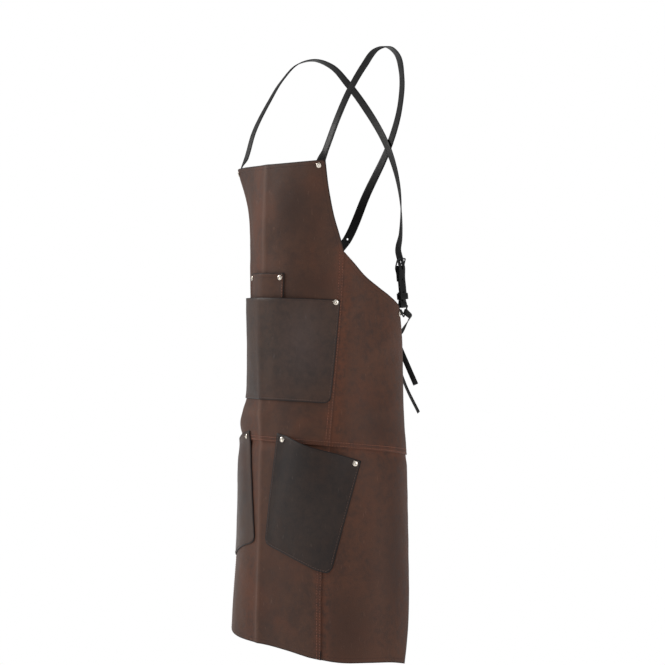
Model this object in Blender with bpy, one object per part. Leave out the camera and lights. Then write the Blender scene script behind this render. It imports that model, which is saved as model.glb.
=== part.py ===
# A cross-back leather work apron in its worn shape, without a wearer.
# Metres, +Z up. The wearer faces -Y and the wearer's left is +X.
# The origin is midway between the undersides of the two shoulder straps at their highest point.
from math import cos, pi, radians, sin

import bmesh
import bpy
import numpy as np
from mathutils import Matrix, Vector

LEATHER = 0.0018  # body and pocket leather
STRAP = 0.0020  # strap leather
STRAP_WIDTH = 0.016
CLEAR = 0.0005  # between neighbouring pieces
WELD = 0.00001  # points nearer than this are one
BEHIND_GAP = 0.0017  # between a curved panel and a flat strap behind it
BIB_TOP = -0.204  # height of the bib's top edge at the centre
WAIST = 0.475  # bib top to waist seam
BACK_CENTRE_Y = -0.0545  # axis of the round waist that the straps lie on
BACK_RADIUS = 0.137

# The worn form: below the bib's top edge each level is an ellipse, given by these few levels.
LEVEL = (0.0, 0.05, 0.11, 0.25, 0.40, 0.475, 0.65, 0.83)
HALF_WIDTH = (0.190, 0.152, 0.131, 0.136, 0.147, 0.165, 0.185, 0.197)
HALF_DEPTH = (0.130, 0.128, 0.130, 0.131, 0.132, 0.130, 0.129, 0.128)
FRONT_Y = (-0.180, -0.182, -0.1835, -0.1855, -0.188, -0.1885, -0.190, -0.191)
SAG_LEVEL = (0.0, 0.23, 0.475, 0.83)
SAG = (-0.018, 0.020, 0.026, 0.034)  # how far the leather drops at SAG_AT from the middle
SAG_AT = 0.33

# Edges of the leather in (across, down) on the flat pattern, for the wearer's left half.
BIB_EDGE = ((0.1346, 0.0), (0.1343, 0.056), (0.139, 0.092), (0.147, 0.122), (0.1545, 0.148))
SEAM = ((0.1545, 0.148), (0.1532, 0.229), (0.1447, 0.397), (0.1436, WAIST))
SKIRT_SEAM = ((0.1436, WAIST), (0.137, 0.689), (0.1387, 0.830))
ARMHOLE = ((0.1545, 0.148), (0.1725, 0.1661), (0.1926, 0.1854), (0.2224, 0.2023), (0.254, 0.2147),
           (0.2925, 0.2275))
SIDE_EDGE = ((0.2925, 0.2275), (0.302, 0.250), (0.322, 0.2975), (0.326, 0.383), (0.331, WAIST))
SKIRT_SIDE = ((0.331, WAIST), (0.322, 0.649), (0.312, 0.755), (0.298, 0.820))
SEAM_GAP = 0.0004  # half the gap along a seam

HEM_CENTRE = ((0.0, 0.823), (0.07, 0.826), (0.115, 0.8295))
HEM_SIDE = ((0.176, 0.829), (0.22, 0.8235), (0.263, 0.8195))

POCKET_LAYER = LEATHER + 0.0008  # middle of a pocket's leather where it is sewn down
CHEST_POCKET = {
    "half_top": 0.150, "half_bottom": 0.139, "top": 0.2290, "bottom": 0.4035,
    "corner": 0.012, "stand_off": 0.0125,
}
PEN_POCKET = {
    "half_top": 0.051, "half_bottom": 0.050, "top": 0.1866, "bottom": 0.330,
    "corner": 0.006, "stand_off": 0.0055,
}
HIP_TOP = ((0.0420, 0.4593), (0.0676, 0.4640), (0.0965, 0.4732), (0.1248, 0.4801), (0.1475, 0.4843),
           (0.1971, 0.4942))
HIP_BOTTOM = ((0.0155, 0.640), (0.0188, 0.6490), (0.0270, 0.6530), (0.0501, 0.6592), (0.0946, 0.6724),
              (0.1380, 0.6838), (0.1480, 0.6840), (0.1560, 0.6750))
HIP_STAND_OFF = 0.011
FLAT_EDGE = 0.11  # share of a pocket's width that lies flat at each side

RIVET_CAP = 0.0046  # radius of a rivet's cap
RIVET_POST = 0.0015
RIVET_HOLE = 0.0020
# Caps, as share of the radius and height.
FRONT_CAP = ((1, 0.0), (1, 0.0005), (0.75, 0.0013), (0.3, 0.0015), (0, 0.0009))
BACK_CAP = ((0, 0.0012), (0.8, 0.0011), (1, 0.0005), (1, 0.0))
HOLE_REACH = 0.004  # how far a hole's cutter passes the leather
CAP_GAP = 0.0013  # between a flat cap and the curved leather under it
BIB_RIVET = (0.122, 0.0085)
PEN_RIVET = (0.0430, 0.1945)
CHEST_RIVET = (0.1425, 0.2335)
HIP_RIVETS = ((0.0545, 0.4695), (0.1868, 0.4995))
SIDE_RIVET = (0.2905, 0.2405)
STRAP_SEWN = (-0.0150, -0.0040, 0.0050)  # along the shoulder strap from its rivet, where it lies flat on the bib
TWIST_AT = 0.33  # share of the way to the strap's first knot, where it has turned to lie on the chest

WIRE = 0.00125  # radius of the side ring's and the buckle's wire
TONGUE = 0.0009  # radius of the buckle's tongue
TONGUE_SLOT = 0.0018  # half the width of the slots that the tongue passes through
TONGUE_CLEAR = 0.0004  # between the tongue and the heel bar
TONGUE_TIP = (0.0016, 0.0014)  # how far the tongue passes the far bar, and stands off it
WIRE_BEND = 0.0022  # radius of the corners that the wire takes
RING_TOP = Vector((0.0966, 0.0412, -0.4466))  # middle of the left side ring's top bar
BUCKLE_BAR = Vector((0.0925, 0.0370, -0.3800))  # middle of the left buckle's heel bar
STRAP_RUN = (BUCKLE_BAR - RING_TOP).length
HARDWARE_FACING = radians(12)  # which way the side ring and buckle face, from +X towards +Y
RING_HALF_WIDTH = 0.0132
RING_HEIGHT = 0.0200
LEG_FOLD = 0.55  # how far down the ring's slanting legs the tab and the tie are folded round
LEG_CLEAR = 0.0007  # round the legs, so that the ring can rock
FRAME_HALF_WIDTH = 0.0103
FRAME_HEIGHT = 0.0150
FRAME_TILT = 0.0066  # how far the buckle's far bar stands out from its heel bar
KEEPER = 0.0014  # leather of the strap keeper
KEEPER_WIDTH = 0.0110
KEEPER_UP = 0.0165  # middle of the keeper above the side ring
KEEPER_BEND = 0.0012
TAB = 0.0012
TAB_WIDTH = 0.0090
TAB_BEHIND = (LEATHER + TAB) / 2 + 0.0028  # middle of the tab's first layer behind the panel's middle

FOLD = WIRE + CLEAR + STRAP / 2  # middle radius of a strap folded round a wire
PINCHED = (STRAP + CLEAR) / 2  # half the distance between the middles of two folded layers
OVER = PINCHED + STRAP + CLEAR + 0.0003  # middle of the strap that lies over a fold
OVER_BAR = FOLD + STRAP + CLEAR + 0.0004  # the same where the fold goes round the heel bar
FOLD_OPEN = 0.0035  # how far from the wire the fold starts to close
FOLD_SHUT = 0.009  # and where its layers lie on each other
FOLD_END = 0.024  # where the layer behind is cut
SLOT_DEPTH = 0.010  # of the cutters for the tongue's slots, to each side of the strap
BAR_SLOT = (-0.0050, 0.010)  # ends of the slot round the heel bar
STRAP_HOLE = ((-0.0040, 0.0012), (0.0120, 0.0140))  # (up, out) corners of the strap's hole at the heel bar

# The left strap's middle from the bib to the other side of the back, and which way its outer face looks.
STRAP_ROUTE = (
    (0.1276, -0.1230, -0.135, (0.10, -0.93, 0.33)),
    (0.1253, -0.0928, -0.080, (0.16, -0.84, 0.52)),
    (0.1247, -0.0637, -0.038, (0.25, -0.65, 0.75)),
    (0.1185, -0.0330, -0.007, (0.15, -0.40, 0.90)),
    (0.1100, 0.000, 0.0010, (0.10, 0.00, 1.00)),
    (0.0990, 0.028, -0.010, (0.15, 0.55, 0.80)),
    (0.0820, 0.050, -0.040, (0.25, 0.85, 0.45)),
    (0.0500, 0.071, -0.090, (0.20, 0.95, 0.20)),
    (0.0, 0.0800, -0.160, (0.0, 1.0, 0.05)),
    (-0.0500, 0.0700, -0.245, (-0.45, 0.89, 0.0)),
    (-0.0800, 0.0490, -0.325, (-0.85, 0.52, 0.0)),
)
# Its end in the buckle's own (up, out): behind the far bar, over the heel bar, then down through the keeper.
STRAP_END = (
    (FRAME_HEIGHT + 0.012, 0.0010),
    (FRAME_HEIGHT, FRAME_TILT - WIRE - CLEAR - STRAP / 2 - 0.0006),
    (FRAME_HEIGHT / 2, OVER_BAR - 0.0010),
    (0.0, OVER_BAR + 0.0003),
    (-0.007, OVER + 0.0012),
    (-0.016, OVER),
    (-0.034, OVER),
    (-0.0590, OVER),
)

TAB_ENDS = (-0.0065, 0, 0.003)  # along the side tab from its rivet, where it lies flat behind the corner
TIE = 0.0013  # leather of the waist ties
TIE_WIDTH = 0.0095
TIE_SHUT, TIE_END = 0.007, 0.015  # how far from the ring's leg the fold is closed, and where it ends
TIE_SPREAD = 1.8  # how much further apart the layers are where the fold closes
WAIST_ROUTE = ((60, -0.488), (74, -0.499))  # degrees from +X, and height
KNOT = Vector((0.0, 0.0920, -0.5050))
KNOT_RADIUS = 0.0085
KNOT_HALF_LENGTH = 0.0110
KNOT_ENTRY = (0.010, -0.001, 0.001)  # a point of the left tie, from where it meets the knot
ENTRY_FACING = (0.1, 1, 0)
LOOP_ROOT = (0.0078, 0.0056, -0.0084)  # where the left loop leaves the knot, from its middle
LOOP_DROOP = (0.45, 0.14, -0.88)  # the way the left bow loop hangs
LOOP_FACING = (-0.80, 0.60, 0)  # the way the left loop's outer face looks
LOOP_OUTLINE = (
    (0, 0.0020), (0.030, 0.0050), (0.062, 0.0045), (0.080, 0.0025), (0.084, -0.0012),
    (0.079, -0.0040), (0.060, -0.0045), (0.030, -0.0032), (0.004, -0.0012),
)
TAIL_ROUTE = (
    (0.0070, -0.0015, -0.010), (0.0140, 0.0000, -0.040), (0.0310, 0.0060, -0.085), (0.0560, 0.0160, -0.132),
)
TAIL_FACING = (0.25, 1, 0)


def remove_everything():
    for obj in list(bpy.data.objects):
        bpy.data.objects.remove(obj, do_unlink=True)


def material(name, colour, roughness, metallic=0.0):
    mat = bpy.data.materials.new(name)
    mat.use_nodes = True
    shader = mat.node_tree.nodes["Principled BSDF"]
    shader.inputs["Base Color"].default_value = (*colour, 1.0)
    shader.inputs["Roughness"].default_value = roughness
    shader.inputs["Metallic"].default_value = metallic
    mat.diffuse_color = (*colour, 1.0)
    return mat


def add(name, mesh, mat):
    obj = bpy.data.objects.new(name, mesh)
    bpy.context.scene.collection.objects.link(obj)
    if mat:
        mesh.materials.append(mat)
    return obj


def smooth(xs, ys, x):
    """Cubic through the given values, with slopes from their neighbours."""
    xs, ys = np.array(xs, float), np.array(ys, float)
    slopes = np.gradient(ys, xs)
    i = int(np.clip(np.searchsorted(xs, x) - 1, 0, len(xs) - 2))
    w = xs[i + 1] - xs[i]
    t = (x - xs[i]) / w
    rise = (2 * t**3 - 3 * t**2 + 1) * ys[i] + (3 * t**2 - 2 * t**3) * ys[i + 1]
    return rise + w * ((t**3 - 2 * t**2 + t) * slopes[i] + (t**3 - t**2) * slopes[i + 1])


ANGLES = np.linspace(0, pi, 361)


def on_form(across, down):
    """The point of the worn leather's middle surface for a place on the flat pattern."""
    half_width, half_depth = smooth(LEVEL, HALF_WIDTH, down), smooth(LEVEL, HALF_DEPTH, down)
    x, y = half_width * np.sin(ANGLES), half_depth * (1 - np.cos(ANGLES))
    arc = np.concatenate([[0], np.cumsum(np.hypot(np.diff(x), np.diff(y)))])
    side = 1 if across >= 0 else -1
    drop = smooth(SAG_LEVEL, SAG, down) * (across / SAG_AT) ** 2
    return Vector((
        side * np.interp(abs(across), arc, x),
        smooth(LEVEL, FRONT_Y, down) + np.interp(abs(across), arc, y),
        BIB_TOP - down - drop,
    ))


def outward(across, down):
    step = 0.002
    low = max(down - step, 0.0)
    sideways = on_form(across + step, down) - on_form(across - step, down)
    downward = on_form(across, down + step) - on_form(across, low)
    return downward.cross(sideways).normalized()


def placed(across, down, out=0.0):
    return on_form(across, down) + outward(across, down) * out


def along(points):
    """A function of 0..1 that walks the given points at an even speed."""
    points = np.array(points, float)
    lengths = np.concatenate([[0], np.cumsum(np.linalg.norm(np.diff(points, axis=0), axis=1))])
    return lambda t: np.array([np.interp(t * lengths[-1], lengths, column) for column in points.T])


def patch(top, bottom, left, right, columns, rows):
    """Rows of (across, down) that fill the space between four edges; each edge is a list of points."""
    top, bottom, left, right = along(top), along(bottom), along(left), along(right)
    grid = []
    for j in range(rows + 1):
        v = j / rows
        row = []
        for i in range(columns + 1):
            u = i / columns
            edges = (1 - v) * top(u) + v * bottom(u) + (1 - u) * left(v) + u * right(v)
            corners = (1 - v) * ((1 - u) * top(0) + u * top(1)) + v * ((1 - u) * bottom(0) + u * bottom(1))
            row.append(edges - corners)
        grid.append(row)
    return np.array(grid)


def mirrored(grid):
    """The same patch on the wearer's right, with its columns still running towards +X."""
    return grid[:, ::-1] * np.array([-1.0, 1.0])


def sheet(name, points, thickness, mat):
    """A leather sheet: rows of points made into faces that look outwards, then thickened both ways."""
    rows, columns = len(points), len(points[0])
    corners = [tuple(p) for row in points for p in row]
    faces = []
    for j in range(rows - 1):
        for i in range(columns - 1):
            a = j * columns + i
            faces.append((a, a + columns, a + columns + 1, a + 1))
    mesh = bpy.data.meshes.new(name)
    mesh.from_pydata(corners, [], faces)
    mesh.shade_smooth()
    obj = add(name, mesh, mat)
    solid = obj.modifiers.new("thickness", "SOLIDIFY")
    solid.thickness = thickness
    solid.offset = 0.0
    solid.use_even_offset = True
    return obj


def panel(name, grid, mat):
    return sheet(name, [[placed(*p) for p in row] for row in grid], LEATHER, mat)


def pocket(name, grid, stand_off, first_layer, mat):
    """A patch of leather on top of the panel, free at its mouth, where it stands off most."""
    rows, columns = grid.shape[0] - 1, grid.shape[1] - 1
    free = (1 - 2 * FLAT_EDGE) * columns
    points = []
    for j, row in enumerate(grid):
        bulge = stand_off * (1 - (j / rows) ** 1.3)
        shares = [min(max((i - FLAT_EDGE * columns) / free, 0.0), 1.0) for i in range(columns + 1)]
        points.append([placed(*p, first_layer + bulge * sin(pi * u) ** 1.2) for u, p in zip(shares, row)])
    return sheet(name, points, LEATHER, mat)


def cut_with(obj, cutter):
    cut = obj.modifiers.new("hole", "BOOLEAN")
    cut.operation = "DIFFERENCE"
    cut.solver = "EXACT"
    cut.object = cutter


def as_cutter(obj):
    obj.hide_render = True
    obj.display_type = "WIRE"
    return obj


def facing(origin, out, up=Vector((0, 0, 1))):
    """A placement whose local Z points out, and whose local Y is as near to up as it can be."""
    z = out.normalized()
    x = up.cross(z).normalized()
    y = z.cross(x)
    return Matrix.Translation(origin) @ Matrix((x, y, z)).transposed().to_4x4()


def turned(name, profile, steps, mat, place):
    """A solid turned round its local Z from (radius, height) points that start and end on the axis."""
    shape = bmesh.new()
    ring = [shape.verts.new((r, 0, z)) for r, z in profile]
    edges = [shape.edges.new(pair) for pair in zip(ring, ring[1:])]
    bmesh.ops.spin(
        shape, geom=ring + edges, axis=(0, 0, 1), cent=(0, 0, 0), steps=steps, angle=2 * pi, use_merge=True
    )
    bmesh.ops.remove_doubles(shape, verts=shape.verts, dist=WELD)
    bmesh.ops.recalc_face_normals(shape, faces=shape.faces)
    mesh = bpy.data.meshes.new(name)
    shape.to_mesh(mesh)
    shape.free()
    mesh.shade_smooth()
    obj = add(name, mesh, mat)
    obj.matrix_world = place
    return obj


def rivet(name, across, down, inner, outer, pierced, metal):
    """A tubular rivet with a cap on each face, whose post runs through every layer from inner to outer."""
    front, back = outer + CAP_GAP, inner - CAP_GAP
    profile = [(RIVET_CAP * share, back - height) for share, height in BACK_CAP]
    profile += [(RIVET_POST, back), (RIVET_POST, front)]
    profile += [(RIVET_CAP * share, front + height) for share, height in FRONT_CAP]
    place = facing(on_form(across, down), outward(across, down))
    turned(name, profile, 10, metal, place)
    low, high = inner - HOLE_REACH, outer + HOLE_REACH
    hole = [(0, low), (RIVET_HOLE, low), (RIVET_HOLE, high), (0, high)]
    cutter = as_cutter(turned(name + ".hole", hole, 10, None, place))
    for obj in pierced:
        cut_with(obj, cutter)


def route(knots, count):
    """Points and outward ways along a smooth curve through a few (point, outward way) knots."""
    points, outs = [p for p, _ in knots], [o for _, o in knots]
    where = np.concatenate([[0], np.cumsum([(b - a).length for a, b in zip(points, points[1:])])])
    walk = []
    for d in np.linspace(0, where[-1], count):
        point = Vector([smooth(where, [p[k] for p in points], d) for k in range(3)])
        out = Vector([np.interp(d, where, [o[k] for o in outs]) for k in range(3)])
        walk.append((point, out.normalized()))
    return walk


def directions(path):
    ends = [path[0], *path, path[-1]]
    return [(b - a).normalized() for a, b in zip(ends, ends[2:])]


def band(name, walk, width, thickness, mat, across=None):
    """A flat strap along (point, outward way) pairs; across sets one direction for its whole width."""
    rows = []
    path = [p for p, _ in walk]
    for (point, out), way in zip(walk, directions(path)):
        half = (across or way.cross(out).normalized()) * (width / 2)
        rows.append([point - half, point + half])
    return sheet(name, rows, thickness, mat)


def arc(centre, radius, start, end, count):
    """Points on a circle in the (up, out) plane; the angle in degrees runs from up towards out."""
    angles = [radians(start + (end - start) * k / (count - 1)) for k in range(count)]
    return [(centre[0] + radius * cos(a), centre[1] + radius * sin(a)) for a in angles]


def rounded(corners, radius, steps=2):
    """A closed outline with its corners rounded."""
    loop = []
    count = len(corners)
    for k in range(count):
        before, here, after = (Vector(corners[(k + d) % count]) for d in (-1, 0, 1))
        start = here + (before - here).normalized() * radius
        end = here + (after - here).normalized() * radius
        for j in range(steps + 1):
            t = j / steps
            loop.append((1 - t) ** 2 * start + 2 * t * (1 - t) * here + t * t * end)
    return loop


def wire(name, points, radius, closed, mat, place):
    curve = bpy.data.curves.new(name, "CURVE")
    curve.dimensions = "3D"
    curve.bevel_depth = radius
    curve.bevel_resolution = 2
    curve.use_fill_caps = True
    spline = curve.splines.new("POLY")
    spline.points.add(len(points) - 1)
    for point, q in zip(spline.points, points):
        point.co = (*q, 1.0)
    spline.use_cyclic_u = closed
    obj = add(name, curve, mat)
    obj.matrix_world = place
    return obj


def box_cutter(name, place, low, high):
    shape = bmesh.new()
    bmesh.ops.create_cube(shape, size=1.0)
    size, centre = Vector(high) - Vector(low), (Vector(high) + Vector(low)) / 2
    bmesh.ops.scale(shape, vec=size, verts=shape.verts)
    bmesh.ops.translate(shape, vec=centre, verts=shape.verts)
    mesh = bpy.data.meshes.new(name)
    shape.to_mesh(mesh)
    shape.free()
    obj = as_cutter(add(name, mesh, None))
    obj.matrix_world = place
    return obj


def on_side(point, side):
    return Vector((side * point[0], point[1], point[2]))


def shifted(points, across):
    return [(a + across, d) for a, d in points]


def other_side(points):
    return [(-a, d) for a, d in points]


def ended(points, down):
    """The same edge, with its last point moved to another level."""
    return [*points[:-1], (points[-1][0], down)]


def begun(points, down):
    return [(points[0][0], down), *points[1:]]


# ---- The five leather panels, sewn edge to edge ----


def make_panels(leather):
    above, below = WAIST - SEAM_GAP, WAIST + SEAM_GAP
    bib_side = ended(shifted(BIB_EDGE[:-1] + SEAM, -SEAM_GAP), above)
    bib = patch(
        [other_side(bib_side)[0], bib_side[0]],
        [other_side(bib_side)[-1], bib_side[-1]],
        other_side(bib_side),
        bib_side,
        18,
        12,
    )
    skirt_side = begun(shifted(SKIRT_SEAM, -SEAM_GAP), below)
    skirt = patch(
        [other_side(skirt_side)[0], skirt_side[0]],
        [*other_side(skirt_side)[-1:], *other_side(HEM_CENTRE)[::-1], *HEM_CENTRE[1:], skirt_side[-1]],
        other_side(skirt_side),
        skirt_side,
        18,
        8,
    )
    armhole, seam = shifted(ARMHOLE, SEAM_GAP), ended(shifted(SEAM, SEAM_GAP), above)
    side_edge = [armhole[-1], *ended(SIDE_EDGE, above)[1:]]
    upper = patch(armhole, [seam[-1], side_edge[-1]], seam, side_edge, 10, 8)
    lower_seam, lower_edge = begun(shifted(SKIRT_SEAM, SEAM_GAP), below), begun(SKIRT_SIDE, below)
    lower = patch(
        [lower_seam[0], lower_edge[0]],
        [lower_seam[-1], *HEM_SIDE, lower_edge[-1]],
        lower_seam,
        lower_edge,
        11,
        8,
    )
    panels = {"bib": panel("bib_panel", bib, leather), "skirt": panel("skirt_centre_panel", skirt, leather)}
    for word, turn in (("left", np.array), ("right", mirrored)):
        panels["upper_" + word] = panel("upper_side_panel_" + word, turn(upper), leather)
        panels["lower_" + word] = panel("skirt_side_panel_" + word, turn(lower), leather)
    return panels


# ---- Pockets, each sewn on top of the panels and standing off at its mouth ----


def square_pocket(name, shape, columns, rows, leather):
    """A pocket with a straight mouth and two rounded lower corners."""
    half, foot, r = shape["half_bottom"], shape["bottom"], shape["corner"]
    corner = [(half + 0.0006, foot - r), (half - 0.29 * r, foot - 0.29 * r), (half - r, foot)]
    side = [(shape["half_top"], shape["top"]), corner[0]]
    grid = patch(
        [other_side(side)[0], side[0]],
        other_side(corner) + corner[::-1],
        other_side(side),
        side,
        columns,
        rows,
    )
    return pocket(name, grid, shape["stand_off"], POCKET_LAYER, leather)


def make_pockets(leather):
    hip = patch(HIP_TOP, HIP_BOTTOM, [HIP_TOP[0], HIP_BOTTOM[0]], [HIP_TOP[-1], HIP_BOTTOM[-1]], 14, 7)
    return {
        "chest": square_pocket("chest_pocket", CHEST_POCKET, 20, 7, leather),
        "pen": square_pocket("pen_pocket", PEN_POCKET, 10, 5, leather),
        "left": pocket("hip_pocket_left", hip, HIP_STAND_OFF, POCKET_LAYER, leather),
        "right": pocket("hip_pocket_right", mirrored(hip), HIP_STAND_OFF, POCKET_LAYER, leather),
    }


# ---- Side hardware ----


def hardware_place(origin, side):
    """Local X is across the strap, Y runs up it, and Z looks outwards."""
    up = on_side(BUCKLE_BAR - RING_TOP, side).normalized()
    out = Vector((side * cos(HARDWARE_FACING), sin(HARDWARE_FACING), 0))
    return facing(origin, out - up * out.dot(up), up)


def flat_run(place, outline):
    """A strap's path given as (up, out) in a placement, ready for band."""
    out_way = place.to_3x3() @ Vector((0, 0, 1))
    return [(place @ Vector((0, up, out)), out_way) for up, out in outline]


def make_buckle_strap(side, word, leather):
    """The short strap, folded round the side ring below and round the buckle's heel bar above."""
    place = hardware_place(on_side(RING_TOP, side), side)
    run = STRAP_RUN
    lower = [(FOLD_END, -PINCHED), (FOLD_SHUT, -PINCHED), (FOLD_OPEN, -FOLD)]
    lower += [*arc((0, 0), FOLD, -90, -270, 9), (FOLD_OPEN, FOLD), (FOLD_SHUT, PINCHED)]
    upper = [(run - up, out) for up, out in lower[::-1]]
    across = place.to_3x3() @ Vector((1, 0, 0))
    strap = band("buckle_strap_" + word, flat_run(place, lower + upper), STRAP_WIDTH, STRAP, leather, across)
    low, high = (-TONGUE_SLOT, run + BAR_SLOT[0], -SLOT_DEPTH), (TONGUE_SLOT, run + BAR_SLOT[1], SLOT_DEPTH)
    cut_with(strap, box_cutter("tongue_slot_" + word, place, low, high))


def make_buckle(side, word, steel):
    """A frame on its heel bar, and the tongue that turns on the same bar."""
    place = hardware_place(on_side(BUCKLE_BAR, side), side)
    half = FRAME_HALF_WIDTH
    far = (FRAME_HEIGHT, FRAME_TILT)
    corners = [(-half, 0, 0), (half, 0, 0), (half, *far), (-half, *far)]
    wire("buckle_frame_" + word, rounded(corners, WIRE_BEND), WIRE, True, steel, place)
    hook = WIRE + TONGUE_CLEAR + TONGUE
    tip = (FRAME_HEIGHT + TONGUE_TIP[0], FRAME_TILT + WIRE + TONGUE + TONGUE_TIP[1])
    path = [(0, up, out) for up, out in [*arc((0, 0), hook, -60, -300, 12), tip]]
    wire("buckle_tongue_" + word, path, TONGUE, False, steel, place)


def make_side_ring(side, word, steel):
    corners = [(-RING_HALF_WIDTH, 0, 0), (RING_HALF_WIDTH, 0, 0), (0, -RING_HEIGHT, 0)]
    place = hardware_place(on_side(RING_TOP, side), side)
    wire("side_ring_" + word, rounded(corners, WIRE_BEND), WIRE, True, steel, place)


def make_keeper(side, word, leather):
    """A closed leather loop round the folded strap and the strap that lies over it."""
    place = hardware_place(on_side(RING_TOP, side), side) @ Matrix.Translation((0, KEEPER_UP, 0))
    low = -PINCHED - (STRAP + KEEPER) / 2 - CLEAR
    high = OVER + (STRAP + KEEPER) / 2 + CLEAR
    half = (STRAP_WIDTH + KEEPER) / 2 + CLEAR
    loop = rounded([(-half, 0, low), (half, 0, low), (half, 0, high), (-half, 0, high)], KEEPER_BEND)
    across = place.to_3x3() @ Vector((0, 1, 0))
    walk = [(place @ p, across) for p in [*loop, loop[0]]]
    keeper = band("strap_keeper_" + word, walk, KEEPER_WIDTH, KEEPER, leather, across)
    join = keeper.modifiers.new("close", "WELD")
    join.merge_threshold = WELD
    keeper.modifiers.move(1, 0)


def ring_leg(side, which):
    """Where a slanting leg of the side ring is held, with the ways away from the ring and outwards."""
    place = hardware_place(on_side(RING_TOP, side), side)
    turn = place.to_3x3()
    x = which * side * RING_HALF_WIDTH
    held = place @ Vector((x * (1 - LEG_FOLD), -RING_HEIGHT * LEG_FOLD, 0))
    away = turn @ Vector((which * side * RING_HEIGHT, -RING_HALF_WIDTH, 0)).normalized()
    return held, away, turn @ Vector((0, 0, 1))


def round_leg(held, away, out, leather, start, end):
    """A fold round a leg of the ring, from one angle to another; at 0 degrees it is on the outer side."""
    radius = WIRE + LEG_CLEAR + leather / 2
    ways = [away * cos(a) + out * sin(a) for a in (radians(start + (end - start) * k / 8) for k in range(9))]
    return [(held + way * radius, way) for way in ways]


def make_side_tab(side, word, leather):
    """A strip folded round the ring's front leg, with both ends riveted behind the apron's corner."""
    held, away, out = ring_leg(side, -1)
    across, down = side * SIDE_RIVET[0], SIDE_RIVET[1]
    corner, corner_out = on_form(across, down), outward(across, down)
    toward = held - corner
    toward = (toward - corner_out * toward.dot(corner_out)).normalized()
    layers = []
    for depth in (TAB_BEHIND, TAB_BEHIND + TAB + CLEAR):
        layers.append([(corner - corner_out * depth + toward * t, corner_out) for t in TAB_ENDS])
    over, under = layers[0], [(p, -o) for p, o in layers[1][::-1]]
    fold = round_leg(held, away, out, TAB, 70, 290)
    return band("side_tab_" + word, over + fold + under, TAB_WIDTH, TAB, leather)


def make_waist_tie(side, word, leather):
    """A thin strap folded round the ring's back leg, then round the waist to the knot."""
    held, away, out = ring_leg(side, 1)
    pinched = out * (TIE + CLEAR) / 2
    end = [(held + away * TIE_END - pinched, -out), (held + away * TIE_SHUT - pinched * TIE_SPREAD, -out)]
    fold = round_leg(held, away, out, TIE, -70, -290)
    leave = [(held + away * TIE_SHUT + pinched * TIE_SPREAD, out), (held + away * TIE_END + pinched, out)]
    waist = []
    for angle, height in WAIST_ROUTE:
        way = Vector((side * cos(radians(angle)), sin(radians(angle)), 0))
        waist.append((Vector((0, BACK_CENTRE_Y, height)) + way * BACK_RADIUS, way))
    root = KNOT + Vector((side * (KNOT_HALF_LENGTH + 0.0012), -0.0035, 0))
    waist.append((root + on_side(KNOT_ENTRY, side), on_side(ENTRY_FACING, side)))
    waist.append((root, Vector((0, 1, 0))))
    band("waist_tie_" + word, end + fold + leave[:1] + route(leave[1:] + waist, 24), TIE_WIDTH, TIE, leather)


# ---- Shoulder straps ----


def make_shoulder_strap(side, word, lift, leather):
    """From behind the bib's corner over the shoulder and back, and through the other side's buckle."""
    across, down = side * BIB_RIVET[0], BIB_RIVET[1]
    out = outward(across, down)
    held = placed(across, down, -(LEATHER + STRAP) / 2 - BEHIND_GAP)
    up = on_side(STRAP_ROUTE[0], side) - held
    up = (up - out * up.dot(out)).normalized()
    start = [(held + up * t, out) for t in STRAP_SEWN]
    middle = []
    for x, y, z, look in STRAP_ROUTE:
        middle.append((on_side((x, y + (lift if x == 0 else 0), z), side), on_side(look, side).normalized()))
    middle.insert(0, (held.lerp(middle[0][0], TWIST_AT), middle[0][1]))
    place = hardware_place(on_side(BUCKLE_BAR, -side), -side)
    walk = route(start + middle + flat_run(place, STRAP_END), 84)
    strap = band("shoulder_strap_" + word, walk, STRAP_WIDTH, STRAP, leather)
    low, high = ((x, *corner) for x, corner in zip((-TONGUE_SLOT, TONGUE_SLOT), STRAP_HOLE))
    cut_with(strap, box_cutter("tongue_hole_" + word, place, low, high))
    return strap


# ---- The bow that ends the waist ties ----


def make_bow(leather):
    r, half = KNOT_RADIUS, KNOT_HALF_LENGTH
    profile = [(0, -half), (r * 0.6, -half), (r * 0.9, -half * 0.7), (r, -half * 0.25)]
    profile += [(x, -z) for x, z in profile[::-1]]
    turned("bow_knot", profile, 14, leather, facing(KNOT, Vector((1, 0, 0))))
    for side, word in ((1, "left"), (-1, "right")):
        down, out = on_side(LOOP_DROOP, side).normalized(), on_side(LOOP_FACING, side)
        out = (out - down * out.dot(down)).normalized()
        across = down.cross(out)
        root = KNOT + on_side(LOOP_ROOT, side)
        walk = route([(root + down * a + out * b, out) for a, b in LOOP_OUTLINE], 24)
        band("bow_loop_" + word, walk, TIE_WIDTH, TIE, leather, across)
        out = on_side(TAIL_FACING, side)
        walk = route([(KNOT + on_side(p, side), out) for p in TAIL_ROUTE], 12)
        band("bow_tail_" + word, walk, TIE_WIDTH, TIE, leather)


# ---- Rivets ----


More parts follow.
